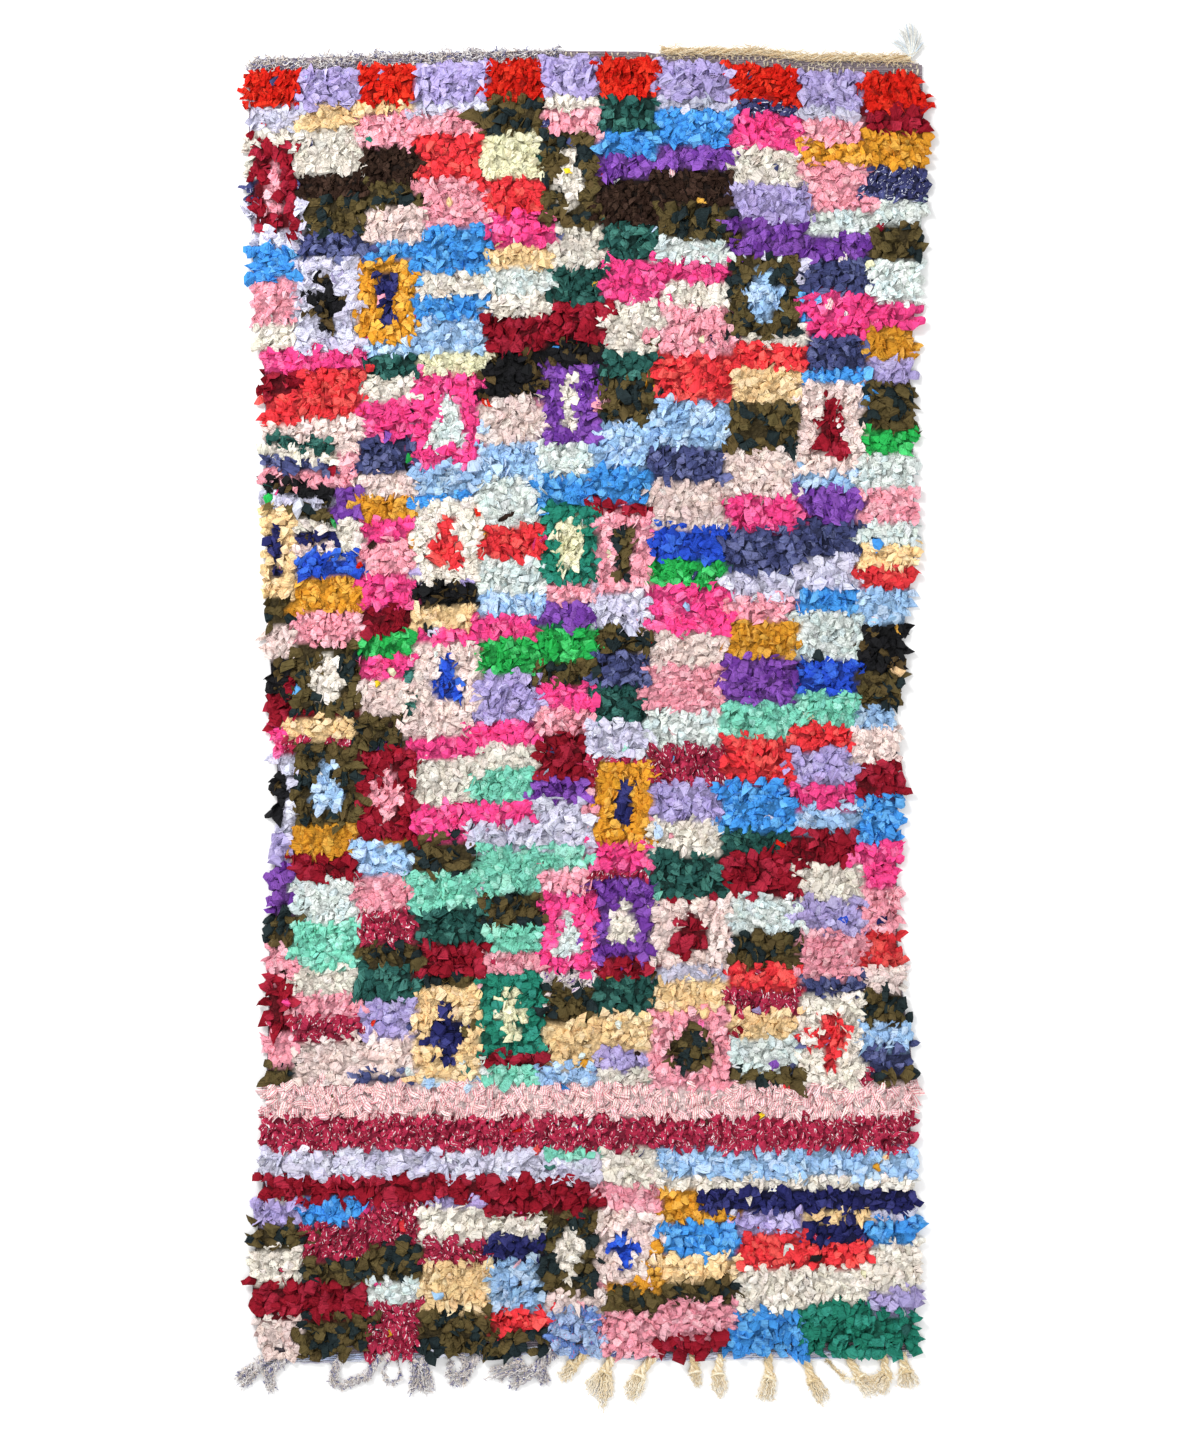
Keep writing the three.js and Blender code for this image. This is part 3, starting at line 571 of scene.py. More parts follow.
def make_flaps(places, share, seed, heading, spread, shorter, rise):
    """One flap for each knot whose rag is wide enough for its place: its points, colours and
    places in the cloth. share is how much of their rows they fill, heading the way they fall and
    spread how far it varies, in degrees, shorter scales their length and rise is their height."""
    rng = np.random.default_rng(seed)
    across, along, row = places
    n = len(across)
    rag, within = pattern_at(across + rng.normal(0, 0.003, n), along + rng.normal(0, 0.003, n), row)
    rag = np.where(rng.random(n) < ODD_RAGS, rng.integers(0, len(RAGS), n), rag)
    wide = rag_facts(rag, 5) * 0.001
    taken = rng.random(n) < share * KNOT_PITCH / (OVERLAP * wide)
    across, along, rag, within, wide = (v[taken] for v in (across, along, rag, within, wide))
    n = len(across)
    wide = wide * FULLNESS * np.exp(rng.normal(0, 0.2, n))
    long = (rag_facts(rag, 6) * 0.001 * shorter * np.exp(rng.normal(0, 0.12, n))).clip(0.012, 0.040)
    way = np.radians(heading + block_turn[within] + rng.normal(0, spread, n))
    edge = np.minimum(across - side_at(along, False), side_at(along, True) - across)
    at_rim = np.clip(1 - edge / RIM_WIDTH, 0, 1) * (rng.random(n) < 0.75)
    outward = np.where(across > 0, 0.0, math.pi) + np.radians(rng.normal(0, 30, n))
    way = way + np.angle(np.exp(1j * (outward - way))) * at_rim
    high = rng.normal(rise, 0.0028, n).clip(0.006, 0.020) * (1 - 0.35 * at_rim)
    droop = rng.uniform(0.2, 0.8, n) * high * (1 + 0.3 * at_rim)
    twist = np.radians(rng.normal(0, 24, (n, 1))) * STATIONS
    twist = twist + np.radians(rng.normal(0, 26, (n, 1))) * STATIONS**2
    slant = rng.normal(0, 0.5, n)
    bow = rng.normal(0, 0.18, n)

    t = STATIONS[None, :]
    reach = long[:, None] * (0.2 * t + 0.8 * t**1.5)
    height = 0.009 * (1 - 0.6 * at_rim[:, None] * t) + high[:, None] * (1 - (1 - t) ** 2.1)
    height = height - droop[:, None] * t**3
    height += np.where(t > 0.1, rng.normal(0, 0.0013, (n, len(STATIONS))), 0)
    slope = np.arctan(np.gradient(height, axis=1) / np.gradient(reach, axis=1))[:, :, None, None]
    flat = np.zeros(n)
    forward = np.stack([np.cos(way), np.sin(way), flat], axis=-1)[:, None, None, :]
    sideways = np.stack([-np.sin(way), np.cos(way), flat], axis=-1)[:, None, None, :]
    upward = np.array((0.0, 0.0, 1.0))
    normal = -np.sin(slope) * forward + np.cos(slope) * upward

    crease = rng.uniform(-0.22, 0.22, (n, 1)) + rng.normal(0, 0.07, (n, len(STATIONS)))
    fold = rng.choice((1, 1, -1), (n, 1)) * rng.uniform(0.1, 0.42, (n, 1)) * (1.2 - 0.5 * t)
    fold = fold + rng.normal(0, 0.05, (n, len(STATIONS)))
    curl = rng.normal(0, 0.09, (2, n, len(STATIONS))) - 0.45 * fold
    a = np.stack([0 * crease - 0.5, crease, 0 * crease + 0.5, crease], axis=2)
    b = np.stack([curl[0], fold, curl[1], fold - 0.07], axis=2)
    widths = (wide[:, None] * STATION_WIDTHS)[:, :, None]
    a = a * widths + rng.normal(0, 0.0009, (n, len(STATIONS), 1)) * (1, 0, 1, 0)
    b = b * widths
    cloth_across = a
    turned = twist[:, :, None]
    a, b = a * np.cos(turned) - b * np.sin(turned), a * np.sin(turned) + b * np.cos(turned)
    ahead = (reach - BEHIND * long[:, None])[:, :, None] + slant[:, None, None] * a * (t**4)[:, :, None]
    aside = a + (bow[:, None] * long[:, None] * t**2)[:, :, None]
    points = laid(across, along, 0.0)[:, None, None, :] + forward * ahead[..., None]
    points = points + sideways * aside[..., None] + upward * height[:, :, None, None]
    points = points + normal * b[..., None]
    points[..., 2] = np.clip(points[..., 2], 0.0015 + 0.001 * rng.random(points.shape[:-1]), PILE_LIMIT)

    patch = 0.5 + 0.5 * np.sin(across * 61 + rag * 2.3) * np.sin(along * 53 + rag)
    other = rng.random(n) < rag_facts(rag, 2) * 2 * patch
    colour = np.where(other[:, None], rag_facts(rag, 1), rag_facts(rag, 0))
    colour = colour * np.exp(rng.normal(0, 0.06, (n, 1)) + block_tint[within][:, None])
    colour = colour * np.exp(rng.normal(0, 0.015, (n, 3)))
    # Painted shade: each flap is darker towards its root, at the bottom of the gap, by depth_of, and a little
    # lighter at its tip.
    depth = depth_of(colour)[:, None]
    shade = depth + (np.interp(t, (0, 0.6, 1), (0.0, 0.95, 1.0)) * (1 - depth)) + 0.06 * t**4
    colour = np.clip(colour[:, None, None, :] * shade[:, :, None, None], 0, 1)
    striped = rag == RAG_NAMES.index("pink_stripe")
    kind = np.where(striped[:, None], (0.0, 1.0), (1.0, 0.0)) * rag_facts(rag, 4)[:, None]
    kind = np.column_stack([kind, rng.random(n)])[:, None, None, :]
    cloth_along = np.broadcast_to(reach[:, :, None], a.shape)
    cloth_piece = np.broadcast_to(9 * rng.random((n, 1, 1)), a.shape)
    return along, {
        "points": points,
        "rag_colour": np.broadcast_to(colour, points.shape),
        "fleck_colour": np.broadcast_to(rag_facts(rag, 3)[:, None, None, :], points.shape),
        "rag_kind": np.broadcast_to(kind, points.shape),
        "rag_place": np.stack([cloth_across, cloth_along, cloth_piece], axis=-1),
    }


rag_cloth = Finish("cut_rag", 0.95)
rag_cloth.shader.inputs["Specular IOR Level"].default_value = 0.08
rag_place = rag_cloth.attribute("rag_place")
rag_kind = rag_cloth.node("ShaderNodeSeparateXYZ", {"Vector": rag_cloth.attribute("rag_kind")}).outputs
dye = rag_cloth.steps(rag_cloth.noise(rag_place, 70.0, 3.0, 0.6), 0.3, 0.7, 0.86, 1.1)
# The rags' colour attribute holds their colour with painted shade towards the roots.
dyed = rag_cloth.mix(1.0, rag_cloth.attribute("rag_colour", "Color"), dye, "MULTIPLY")
fleck_place = rag_cloth.scaled(rag_place, (1.0, 0.22, 1.0))
fleck_limit = rag_cloth.math("SUBTRACT", 0.79, rag_cloth.math("MULTIPLY", rag_kind["X"], 0.62))
fleck = rag_cloth.math("GREATER_THAN", rag_cloth.noise(fleck_place, 400.0, 1.0), fleck_limit)
fleck = rag_cloth.math("MULTIPLY", fleck, rag_cloth.math("GREATER_THAN", rag_kind["X"], 0.01))
stripe = rag_cloth.node(
    "ShaderNodeTexWave", {"Vector": rag_place, "Scale": 70.0, "Distortion": 0.6}, bands_direction="X"
).outputs["Fac"]
stripe = rag_cloth.math("GREATER_THAN", stripe, 0.84)
stripe = rag_cloth.math("MULTIPLY", stripe, rag_cloth.math("GREATER_THAN", rag_kind["Y"], 0.01))
printed = rag_cloth.math("MAXIMUM", fleck, stripe)
printed = rag_cloth.mix(printed, dyed, rag_cloth.attribute("fleck_colour", "Color"))
crease_place = rag_cloth.scaled(rag_place, (0.55, 1.5, 1.0))
crumple = rag_cloth.cells(crease_place, 105.0)
small_crumple = rag_cloth.cells(crease_place, 215.0)
rag_cloth.finish(
    printed,
    (crumple, 0.0040),
    (small_crumple, 0.0030),
    (rag_cloth.noise(rag_place, 1300.0, 1.0), 0.0004),
)

LAYERS = [  # rows and inset of the knots, then share, heading, spread, shorter and rise of the flaps
    (np.arange(0, row_count, 0.5), 0.002, 0.74, -90, 27, 0.74, 0.0120),
    (range(row_count), 0.006, 0.30, -90, 85, 0.7, 0.0140),
    (range(row_count), 0.012, 0.022, -90, 150, 1.5, 0.0140),
    ([-1.0, -0.45, row_count - 0.5], 0.006, 0.9, -90, 40, 0.9, 0.0080),
    ([row_count - 0.6], 0.006, 0.9, 90, 40, 0.6, 0.0100),
]
flaps = [
    make_flaps(knot_places(rows, inset, 21 + layer), share, 31 + layer, *facts)
    for layer, (rows, inset, share, *facts) in enumerate(LAYERS)
]
order = np.argsort(np.concatenate([along for along, _ in flaps]), kind="stable")
flap_size = len(STATIONS) * FOLD
joined = {
    key: np.concatenate([parts[key].reshape(-1, flap_size, 3) for _, parts in flaps])[order]
    for key in flaps[0][1]
}
side = np.arange(FOLD)
rings = [
    np.stack([s + side, s + np.roll(side, -1), s + np.roll(side, -1) + FOLD, s + side + FOLD], axis=-1)
    for s in range(0, flap_size - FOLD, FOLD)
]
flap_sides = np.concatenate(rings)
flap_ends = np.array([side[::-1], side + flap_size - FOLD])
for band, chosen in enumerate(np.array_split(np.arange(len(order)), PILE_BANDS)):
    start = (np.arange(len(chosen)) * flap_size)[:, None, None]
    piece = mesh_piece(
        f"rag_pile_{band + 1}",
        joined["points"][chosen].reshape(-1, 3),
        [(flap_sides + start).reshape(-1, 4), (flap_ends + start).reshape(-1, FOLD)],
        rag_cloth.material,
        "rag_pile",
        "rug_ground_and_pile",
        **{key: values[chosen].reshape(-1, 3) for key, values in joined.items() if key != "points"},
    )
    piece.data.set_sharp_from_angle(angle=math.radians(18))

# Frizzy yarn on the hem.
# The left half of the hem is wound with a mottled grey boucle yarn, whose loops and cut ends
# cover the weave and stand up past its edge.
FRIZZ_SPAN = (-0.676, -0.048)
FRIZZ_COUNT = 1300
FRIZZ_COLOURS = ("e0dada", "ede8e6", "cbc4ca", "a39eb0", "f8f5f2", "66689a", "ebddd0", "d6ccc6")


def tube_tree():
    """The nodes that turn strands into yarn: a round section swept along each strand."""
    tree = bpy.data.node_groups.new("spun_yarn", "GeometryNodeTree")
    sockets = [
        tree.interface.new_socket(name=name, in_out="INPUT", socket_type=kind)
        for name, kind in (
            ("Strands", "NodeSocketGeometry"), ("Sides", "NodeSocketInt"), ("Thickness", "NodeSocketFloat"),
            ("Finish", "NodeSocketMaterial"),
        )
    ]
    tree.interface.new_socket(name="Yarn", in_out="OUTPUT", socket_type="NodeSocketGeometry")
    nodes, links = tree.nodes, tree.links
    given = nodes.new("NodeGroupInput").outputs
    curve = nodes.new("GeometryNodeMeshToCurve")
    section = nodes.new("GeometryNodeCurvePrimitiveCircle")
    section.inputs["Radius"].default_value = 1.0
    thick = nodes.new("GeometryNodeInputNamedAttribute")
    thick.data_type = "FLOAT"
    thick.inputs["Name"].default_value = "thick"
    scaled = nodes.new("ShaderNodeMath")
    scaled.operation = "MULTIPLY"
    sweep = nodes.new("GeometryNodeCurveToMesh")
    sweep.inputs["Fill Caps"].default_value = True
    smooth = nodes.new("GeometryNodeSetShadeSmooth")
    real = nodes.new("GeometryNodeRealizeInstances")
    dyed = nodes.new("GeometryNodeSetMaterial")
    out = nodes.new("NodeGroupOutput")
    for start, end in (
        (given["Strands"], curve.inputs["Mesh"]),
        (given["Sides"], section.inputs["Resolution"]),
        (thick.outputs["Attribute"], scaled.inputs[0]),
        (given["Thickness"], scaled.inputs[1]),
        (curve.outputs["Curve"], sweep.inputs["Curve"]),
        (section.outputs["Curve"], sweep.inputs["Profile Curve"]),
        (scaled.outputs[0], sweep.inputs["Scale"]),
        (sweep.outputs["Mesh"], smooth.inputs["Geometry"]),
        (smooth.outputs["Geometry"], real.inputs["Geometry"]),
        (real.outputs["Geometry"], dyed.inputs["Geometry"]),
        (given["Finish"], dyed.inputs["Material"]),
        (dyed.outputs["Geometry"], out.inputs["Yarn"]),
    ):
        links.new(start, end)
    return tree, {socket.name: socket.identifier for socket in sockets}


spun_yarn, spun_inputs = tube_tree()


def spin(name, strands, finish, sides, node):
    """A piece of yarn. Each strand is its points, their radii and their colours."""
    counts = [len(points) for points, _, _ in strands]
    points = np.concatenate([points for points, _, _ in strands])
    thick = np.concatenate([np.broadcast_to(radii, count) for (_, radii, _), count in zip(strands, counts)])
    colour = np.concatenate(
        [np.broadcast_to(colours, (count, 3)) for (_, _, colours), count in zip(strands, counts)]
    )
    past = np.cumsum(counts)
    linked = np.setdiff1d(np.arange(len(points) - 1), past - 1)
    mesh = bpy.data.meshes.new(name + "_strands")
    mesh.vertices.add(len(points))
    mesh.vertices.foreach_set("co", points.astype(np.float32).reshape(-1))
    mesh.edges.add(len(linked))
    mesh.edges.foreach_set("vertices", np.column_stack([linked, linked + 1]).astype(np.int32).reshape(-1))
    add_attribute(mesh, "thick", thick)
    add_attribute(mesh, "yarn_colour", colour)
    mesh.update()
    drawn = bpy.data.objects.new(name + "_strands", mesh)
    scene.collection.objects.link(drawn)
    modifier = drawn.modifiers.new("yarn", "NODES")
    modifier.node_group = spun_yarn
    modifier[spun_inputs["Sides"]] = sides
    modifier[spun_inputs["Thickness"]] = 1.0
    modifier[spun_inputs["Finish"]] = finish
    made = bpy.data.meshes.new_from_object(drawn.evaluated_get(bpy.context.evaluated_depsgraph_get()))
    made.name = name
    bpy.data.objects.remove(drawn)
    bpy.data.meshes.remove(mesh)
    return add_piece(name, made, node)


def one_of(rng, colours):
    """One of these hex codes, as a linear colour."""
    return linear(colours[int(rng.integers(len(colours)))])


def fibres(rng, starts, ways, length, radius, curl, colours, count=5):
    """Short curly fibres from these starting points, each with a way to go and a colour."""
    strands = []
    for start, way in zip(starts, ways):
        long = rng.uniform(*length)
        steps = way + curl * rng.standard_normal((count - 1, 3))
        steps *= long / (count - 1) / np.linalg.norm(steps, axis=1)[:, None]
        points = np.concatenate([start[None], start + np.cumsum(steps, axis=0)])
        points[:, 2] = np.abs(points[:, 2] - 0.002) + 0.002
        thick = rng.uniform(*radius) * np.linspace(1, 0.55, count)
        strands.append((points, thick, one_of(rng, colours)))
    return strands


yarn_finish = Finish("frizzy_yarn", 0.95, sheen=0.2)
yarn_colour = yarn_finish.attribute("yarn_colour", "Color")
yarn_tone = yarn_finish.steps(yarn_finish.noise(yarn_finish.place(), 420.0, 2.0, 0.7), 0.3, 0.7, 0.7, 1.2)
yarn_finish.finish(
    yarn_finish.mix(1.0, yarn_colour, yarn_tone, "MULTIPLY"),
    (yarn_finish.noise(yarn_finish.place(), 1600.0), 0.0006),
)
rng = np.random.default_rng(41)
frizz_across = rng.uniform(*FRIZZ_SPAN, FRIZZ_COUNT)
frizz_low = end_at(frizz_across, "pile") - 0.012
frizz_along = frizz_low + (end_at(frizz_across, "hem") + 0.002 - frizz_low) * rng.random(FRIZZ_COUNT)
frizz_starts = laid(frizz_across, frizz_along, rng.uniform(0.003, 0.009, FRIZZ_COUNT))
frizz_tuft = np.sin(frizz_across * 190) * np.sin(frizz_across * 83) > 0.35
frizz_starts[:, 1] += np.where(frizz_tuft, 0.0045, 0.0)
frizz_angle = rng.uniform(-0.3, math.pi + 0.3, FRIZZ_COUNT)
frizz_ways = np.column_stack(
    [np.cos(frizz_angle), 0.7 * np.sin(frizz_angle), rng.uniform(-0.2, 0.5, FRIZZ_COUNT)]
)
spin(
    "hem_frizz",
    fibres(rng, frizz_starts, frizz_ways, (0.010, 0.022), (0.0009, 0.0018), 0.85, FRIZZ_COLOURS),
    yarn_finish.material,
    3,
    "rug_ground_and_pile",
)

# Bare hem.
# The right half of the hem is plain: grey-mauve weft in flat ribs, with the cream warp ends
# brought back over it as short bars.
HEM_SPAN = (-0.045, 0.675)
WEFT_PITCH = 0.0034
WARP_PITCH = 0.0115
HEM_ROWS = 9
HEM_WEFT, HEM_WARP, HEM_LOOP = "8b7e86", "cfc3ab", "d8cdb6"
STRAY_LOOPS = ((0.460, 0.009), (0.474, 0.012), (0.484, 0.008), (0.182, 0.006))  # across, and down
rng = np.random.default_rng(43)
hem_x = np.arange(*HEM_SPAN, 0.006)
hem_strands = []
for row in range(HEM_ROWS):
    up = end_at(hem_x, "hem") - 0.002 - row * WEFT_PITCH + rng.normal(0, 0.0003, len(hem_x))
    lift = 0.0042 + 0.0006 * np.where((np.arange(len(hem_x)) + row) % 2, 1, -1)
    colour = linear(HEM_WEFT) * np.exp(rng.normal(0, 0.16, (len(hem_x), 1)))
    shown = hem_x < side_at(up, True) - 0.004
    hem_strands.append((laid(hem_x[shown], up[shown], lift[shown]), 0.0017, colour[shown]))
for x in np.arange(HEM_SPAN[0] + 0.006, HEM_SPAN[1] - 0.004, WARP_PITCH):
    for shift, drop, least, most in ((0.0, 0.0035, 0.004, 0.008), (0.004, 0.0125, 0.009, 0.014)):
        if rng.random() < 0.12:
            continue
        place = x + shift + rng.normal(0, 0.0012)
        long = rng.uniform(least, most)
        along = float(end_at(place, "hem")) - drop + rng.normal(0, 0.001) - np.linspace(0, long, 5)
        lift = 0.0054 + 0.0010 * np.array((-1.6, 0.6, 1, 0.6, -1.6))
        lean = place + np.linspace(0, rng.normal(0, 0.0015), 5)
        tone = linear(HEM_WARP) * rng.uniform(0.78, 1.1)
        hem_strands.append((laid(lean, along, lift), rng.uniform(0.0016, 0.0023), tone))
for across, down in STRAY_LOOPS:
    angle = np.linspace(0, rng.uniform(3.5, 6.5), 12)
    size = rng.uniform(0.005, 0.010)
    loop_x = across + size * 1.5 * np.cos(angle)
    loop_y = float(end_at(across, "hem")) - down + size * 0.6 * np.sin(angle)
    hem_strands.append((laid(loop_x, loop_y, 0.0072), 0.0006, linear(HEM_LOOP)))
spin("bare_hem", hem_strands, yarn_finish.material, 5, "rug_ground_and_pile")

# Edge cord.
# A soft three-ply cord of unbleached cotton that is sewn along the right half of the hem, and
# ends in a frayed wisp at the corner.
CORD_SPAN = (0.152, 0.655)
CORD_TURN = 0.110
CORD_CENTRE = (0.00725, 0.00775)  # past the hem's edge, and above the floor
CORD_COLOURS = ("dcc298", "e7d2aa", "cfb385", "eddfc2")
CORD_WISP = ((0.616, 2.622), (0.628, 2.644), (0.642, 2.656), (0.657, 2.650), (0.670, 2.636), (0.680, 2.614))
WISP_STRANDS, WISP_COLOURS = 16, ("e4e3dc", "cddbe6")  # for each of its tips
FUZZ_COUNT = 560
cotton = Finish("unbleached_cotton", 0.95, sheen=0.25)
cotton_tone = cotton.steps(cotton.noise(cotton.place(), 300.0, 3.0, 0.7), 0.3, 0.7, 0.8, 1.12)
cotton.finish(
    cotton.mix(1.0, cotton.attribute("yarn_colour", "Color"), cotton_tone, "MULTIPLY"),
    (cotton.noise(cotton.place(), 1500.0), 0.0007),
)


def plied(rng, path, turns, plies, yarns, ply_offset, yarn_offset, radius, colours, flat=1.0):
    """The yarns of a plied rope along a path of points. turns are of the plies about each other,
    and flat is how much lower than wide the rope is."""
    count = len(path)
    step = np.gradient(path, axis=0)
    step /= np.linalg.norm(step, axis=1)[:, None]
    aside = np.cross(step, (0.0, 0.0, 1.0))
    aside /= np.linalg.norm(aside, axis=1)[:, None]
    above = np.cross(aside, step)
    share = np.linspace(0, 1, count)
    strands = []
    phase = rng.uniform(0, 2 * math.pi)
    for ply in range(plies):
        angle = phase + 2 * math.pi * (ply / plies + turns * share)
        for yarn in range(yarns):
            inner = 2 * math.pi * (yarn / yarns + turns * 2.2 * share) + ply
            x = ply_offset * np.cos(angle) + yarn_offset * np.cos(inner) + rng.normal(0, radius * 0.12, count)
            y = ply_offset * np.sin(angle) + yarn_offset * np.sin(inner) + rng.normal(0, radius * 0.12, count)
            points = path + aside * x[:, None] + above * (flat * y)[:, None]
            points[:, 2] = np.maximum(points[:, 2], radius)
            strands.append((points, radius, one_of(rng, colours)))
    return strands


rng = np.random.default_rng(47)
cord_x = np.arange(*CORD_SPAN, 0.004)
cord_path = laid(cord_x, end_at(cord_x, "hem") + CORD_CENTRE[0], CORD_CENTRE[1])
cord_turns = (CORD_SPAN[1] - CORD_SPAN[0]) / CORD_TURN
cord_strands = plied(rng, cord_path, cord_turns, 3, 5, 0.0038, 0.0024, 0.0013, CORD_COLOURS)
fuzz_at = rng.integers(0, len(cord_path), FUZZ_COUNT)
fuzz_angle = rng.uniform(0, math.pi, FUZZ_COUNT)
fuzz_cos, fuzz_sin = np.cos(fuzz_angle), np.sin(fuzz_angle)
fuzz_out = np.column_stack([rng.normal(0, 0.002, FUZZ_COUNT), 0.006 * fuzz_cos, 0.006 * fuzz_sin])
fuzz_along = np.where(rng.random(FUZZ_COUNT) < 0.5, 1, -1)
fuzz_ways = np.column_stack([fuzz_along, 0.4 * fuzz_cos, 0.1 * fuzz_angle])
cord_strands += fibres(
    rng, cord_path[fuzz_at] + fuzz_out, fuzz_ways, (0.010, 0.026), (0.0004, 0.0009), 0.45, CORD_COLOURS, 4
)
wisp_start = cord_path[-1]
for across, along in CORD_WISP:
    for _ in range(WISP_STRANDS):
        tip = laid(across + rng.normal(0, 0.006), along + rng.normal(0, 0.005), rng.uniform(0.002, 0.008))
        share = np.linspace(0, 1, 7)[:, None]
        points = wisp_start + (tip - wisp_start) * share
        points += (0.003, 0.004, 0.002) * np.sin(share * math.pi) + rng.normal(0, 0.0008, (7, 3)) * share
        points[:, 2] = np.maximum(points[:, 2], 0.0012)
        tone = linear(WISP_COLOURS[0] if rng.random() < 0.7 else WISP_COLOURS[1])
        cord_strands.append((points, rng.uniform(0.0004, 0.0009) * np.linspace(1.2, 0.5, 7), tone))
spin("cotton_edge_cord", cord_strands, cotton.material, 4, "edge_cord")

# Fringe.
# The warp ends below the pile: a narrow heading of a few coarse wefts, and under it the warps
# in bunches, twisted and tied. The left ones are frizzy grey yarn and the right ones cotton.
GREY_SPAN, CREAM_SPAN = (-0.640, -0.014), (-0.010, 0.656)  # across, of the two headings
GREY_ENDS, CREAM_ENDS = "d8d0c8", "faf6ee"  # what the tassels' ends fade to
TIED_ENDS, LOOSE_ENDS = 700, 260  # how many for each metre of a tassel's fan
THIN_STEM = 12  # up to which a cream tassel is left untied, in mm
HEADING_ROWS = 4
HEADING_PITCH = 0.0040
HEADING_COLOURS = ("cdd6ee", "d8dcec", "b9c5e4", "dedde6", "c2bfd2")
FRINGE_COLOURS = ("e9d2aa", "f2dfba", "dcc496", "f6ecd2")
GREY_TASSELS = [  # root across, waist across and down, tip across and down, fan, stem
    (-640, -662, 40, -694, 74, 34, 26), (-598, -632, 42, -628, 88, 22, 24),
    (-488, -500, 40, -502, 80, 18, 17), (-408, -436, 56, -496, 82, 20, 22),
    (-388, -404, 44, -394, 70, 3, 3), (-378, -368, 54, -390, 76, 3, 3),
    (-356, -338, 34, -344, 94, 32, 20), (-312, -324, 34, -314, 96, 32, 20),
    (-280, -266, 32, -276, 56, 4, 6), (-254, -232, 34, -254, 76, 20, 15),
    (-200, -230, 34, -286, 74, 20, 20), (-142, -132, 34, -208, 56, 30, 22),
    (-68, -102, 42, -156, 72, 30, 22), (-54, -88, 42, -76, 74, 20, 15),
]
CREAM_TASSELS = [
    (4, -24, 32, -52, 64, 22, 20), (62, 42, 46, 22, 100, 58, 22), (54, 38, 62, 36, 130, 16, 9),
    (140, 110, 52, 88, 104, 38, 22), (216, 220, 44, 228, 78, 20, 20), (274, 266, 48, 276, 98, 30, 20),
    (366, 370, 56, 358, 110, 36, 21), (436, 456, 62, 480, 112, 34, 21), (472, 518, 58, 596, 64, 4, 6),
    (522, 550, 56, 588, 92, 44, 20), (596, 604, 50, 576, 90, 46, 20), (636, 642, 44, 654, 80, 42, 22),
]


def woven_heading(rng, left, right):
    """The heading's wefts, strips of pale cloth laid over and under below the pile's foot."""
    x = np.arange(left, right, 0.007)
    tones = np.array([linear(code) for code in HEADING_COLOURS])
    strands = []
    for row in range(HEADING_ROWS):
        along = end_at(x, "foot") - 0.0025 - row * HEADING_PITCH + rng.normal(0, 0.0007, len(x))
        lift = 0.0036 + 0.0006 * np.sin(x * 260 + row * math.pi) + rng.normal(0, 0.0003, len(x))
        pieces = np.cumsum(rng.random(len(x)) < 0.09)
        shades = tones[rng.integers(0, len(tones), pieces[-1] + 1)][pieces]
        strands.append((laid(x, along, lift), 0.0023 * rng.uniform(0.8, 1.1, len(x)), shades))
    return strands


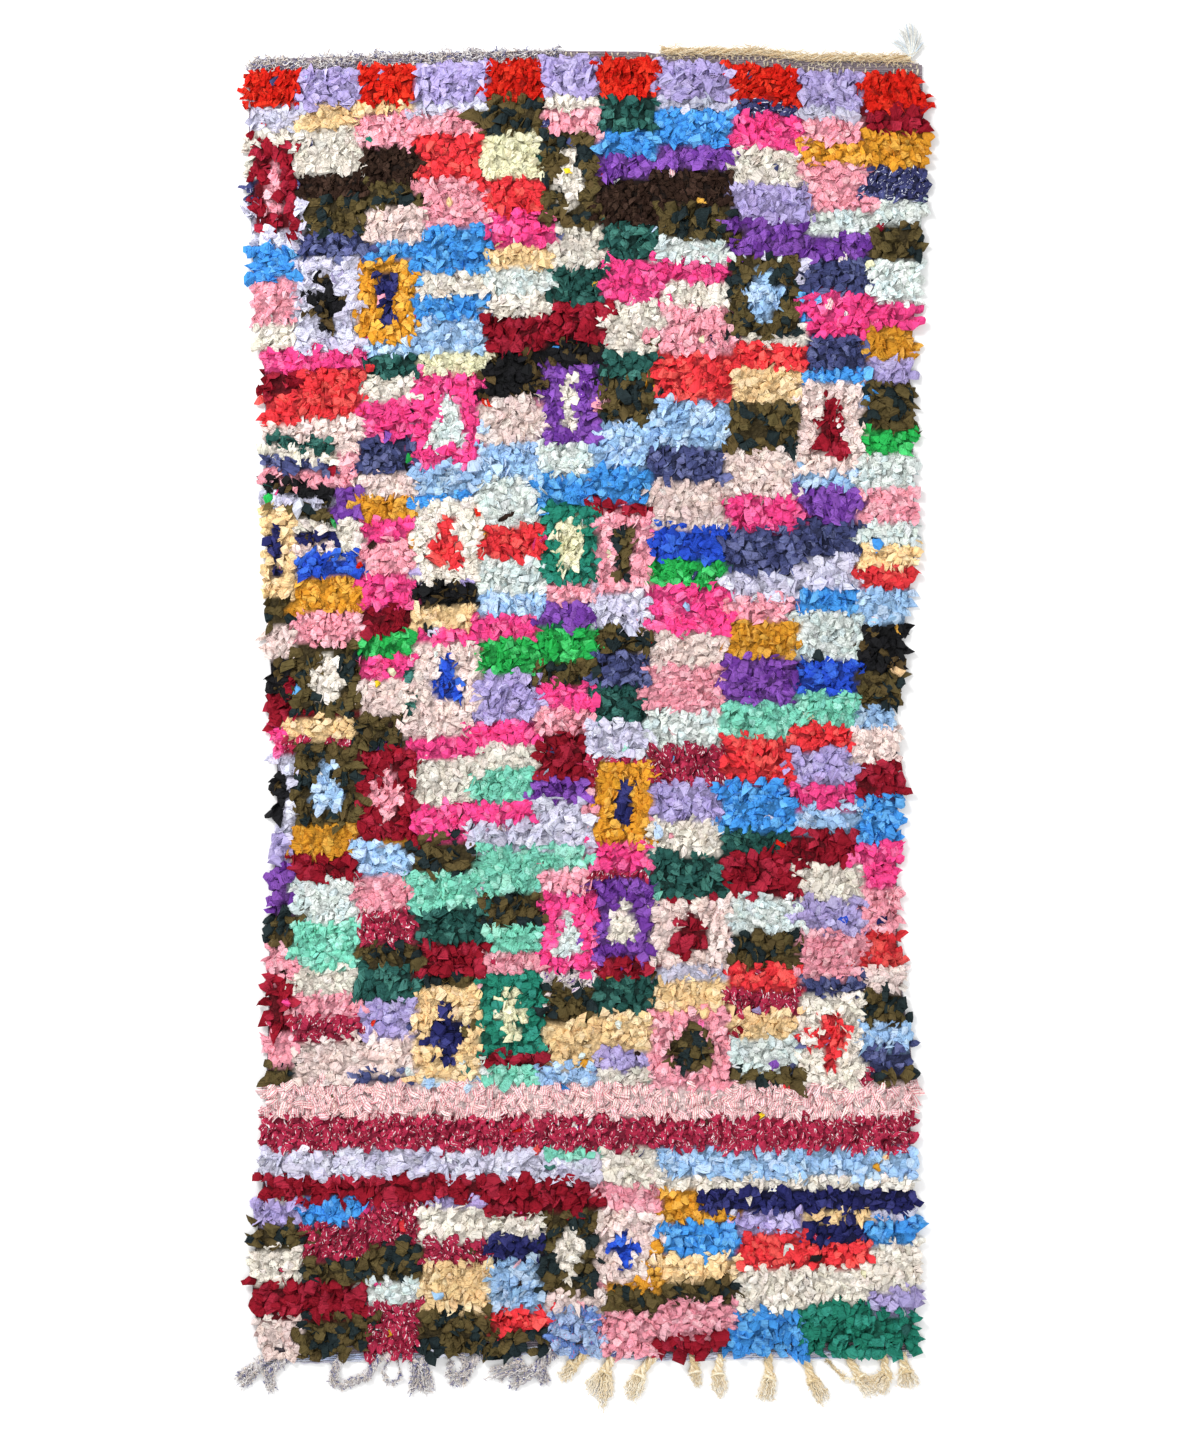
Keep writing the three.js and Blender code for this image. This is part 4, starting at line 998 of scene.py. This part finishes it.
def tassel(rng, facts, colours, pale, tied, fuzz):
    """One bunch of warp ends: a soft stem, a knot where it is tied, its loose crimped ends, and
    fuzz as short fibres. pale is the colour that the ends fade to."""
    root, waist_x, waist_down, tip_x, tip_down, fan, stem = (value * 0.001 for value in facts)
    start = np.array((root, float(end_at(root, "foot")) - 0.004))
    waist, tip = np.array((waist_x, -waist_down)), np.array((tip_x, -tip_down))
    share = np.linspace(0, 1, 12)[:, None]
    bend = (start + waist) / 2 + rng.normal(0, 0.002, 2)
    line = (1 - share) ** 2 * start + 2 * share * (1 - share) * bend + share**2 * waist
    line = line + np.cumsum(rng.normal(0, stem * 0.02, (12, 2)), axis=0)
    radius = stem / 9
    path = laid(line[:, 0], line[:, 1], min(radius * 2.4, 0.0055))
    made = plied(rng, path, 0.8, 3, 4, radius * 2.1, radius * 1.2, radius, colours, 0.55)
    way = tip - waist
    long = np.linalg.norm(way)
    way = way / long
    sideways = np.array((-way[1], way[0]))
    if tied:
        for turn in range(4):
            angle = np.linspace(0, 2 * math.pi, 11)
            size = stem * (0.44 + 0.05 * turn)
            along_stem = (turn - 1.5) * radius * 1.3 + size * 0.4 * np.sin(angle + turn)
            ring = waist + np.outer(size * np.cos(angle), sideways) + np.outer(along_stem, way)
            high = np.maximum(0.006 + size * 0.5 * np.sin(angle), radius * 1.3)
            tone = one_of(rng, colours)
            made.append((laid(ring[:, 0], ring[:, 1], high), radius * 1.2, tone))
    wave = rng.uniform(0, 2 * math.pi)
    for _ in range(6 + int(fan * (TIED_ENDS if tied else LOOSE_ENDS))):
        offset = rng.uniform(-0.5, 0.5) * fan
        far = long * rng.uniform(0.66, 1.0) * (1 - 0.25 * (2 * offset / fan) ** 2)
        share = np.linspace(-0.12, 1, 11)
        crimp = 0.0018 * np.sin(share * far / 0.0075 * math.pi + wave + offset * 90)
        across = np.sign(offset) * min(abs(offset), stem * 0.45) * (1 - share) + offset * share
        across = across + crimp + np.cumsum(rng.normal(0, 0.0006, 11))
        flat = waist + np.outer(share * far, way) + np.outer(across, sideways)
        high = 0.003 + 0.006 * (1 - share) * rng.uniform(0.1, 1.0) + 0.003 * rng.random()
        thick = rng.uniform(0.0011, 0.0018) * np.linspace(1, 0.7, 11)
        fade = np.clip(share, 0, 1)[:, None] * rng.uniform(0.3, 1.0)
        tone = one_of(rng, colours)
        made.append((laid(flat[:, 0], flat[:, 1], high), thick, tone * (1 - fade) + linear(pale) * fade))
    spots = np.concatenate([points[1:] for points, _, _ in made])
    chosen = spots[rng.integers(0, len(spots), fuzz)] + rng.normal(0, 0.0012, (fuzz, 3)) + (0, 0, 0.001)
    ways = rng.standard_normal((fuzz, 3)) * (1, 1, 0.5) + 0.6 * np.append(way, 0)
    thick, length = ((0.0004, 0.0009), (0.005, 0.012)) if tied else ((0.0009, 0.0015), (0.005, 0.010))
    return made + fibres(rng, chosen, ways, length, thick, 1.0, colours, 4)


rng = np.random.default_rng(53)
grey_strands = woven_heading(rng, *GREY_SPAN)
for facts in GREY_TASSELS:
    fuzz = 14 + int(facts[6] * 14)
    grey_strands += tassel(rng, facts, FRIZZ_COLOURS, GREY_ENDS, False, fuzz)
spin("grey_fringe", grey_strands, yarn_finish.material, 3, "fringe_grey")
cream_strands = woven_heading(rng, *CREAM_SPAN)
for facts in CREAM_TASSELS:
    fuzz = 20 + int(facts[6] * 7)
    cream_strands += tassel(rng, facts, FRINGE_COLOURS, CREAM_ENDS, facts[6] > THIN_STEM, fuzz)
spin("cream_fringe", cream_strands, cotton.material, 4, "fringe_cream")
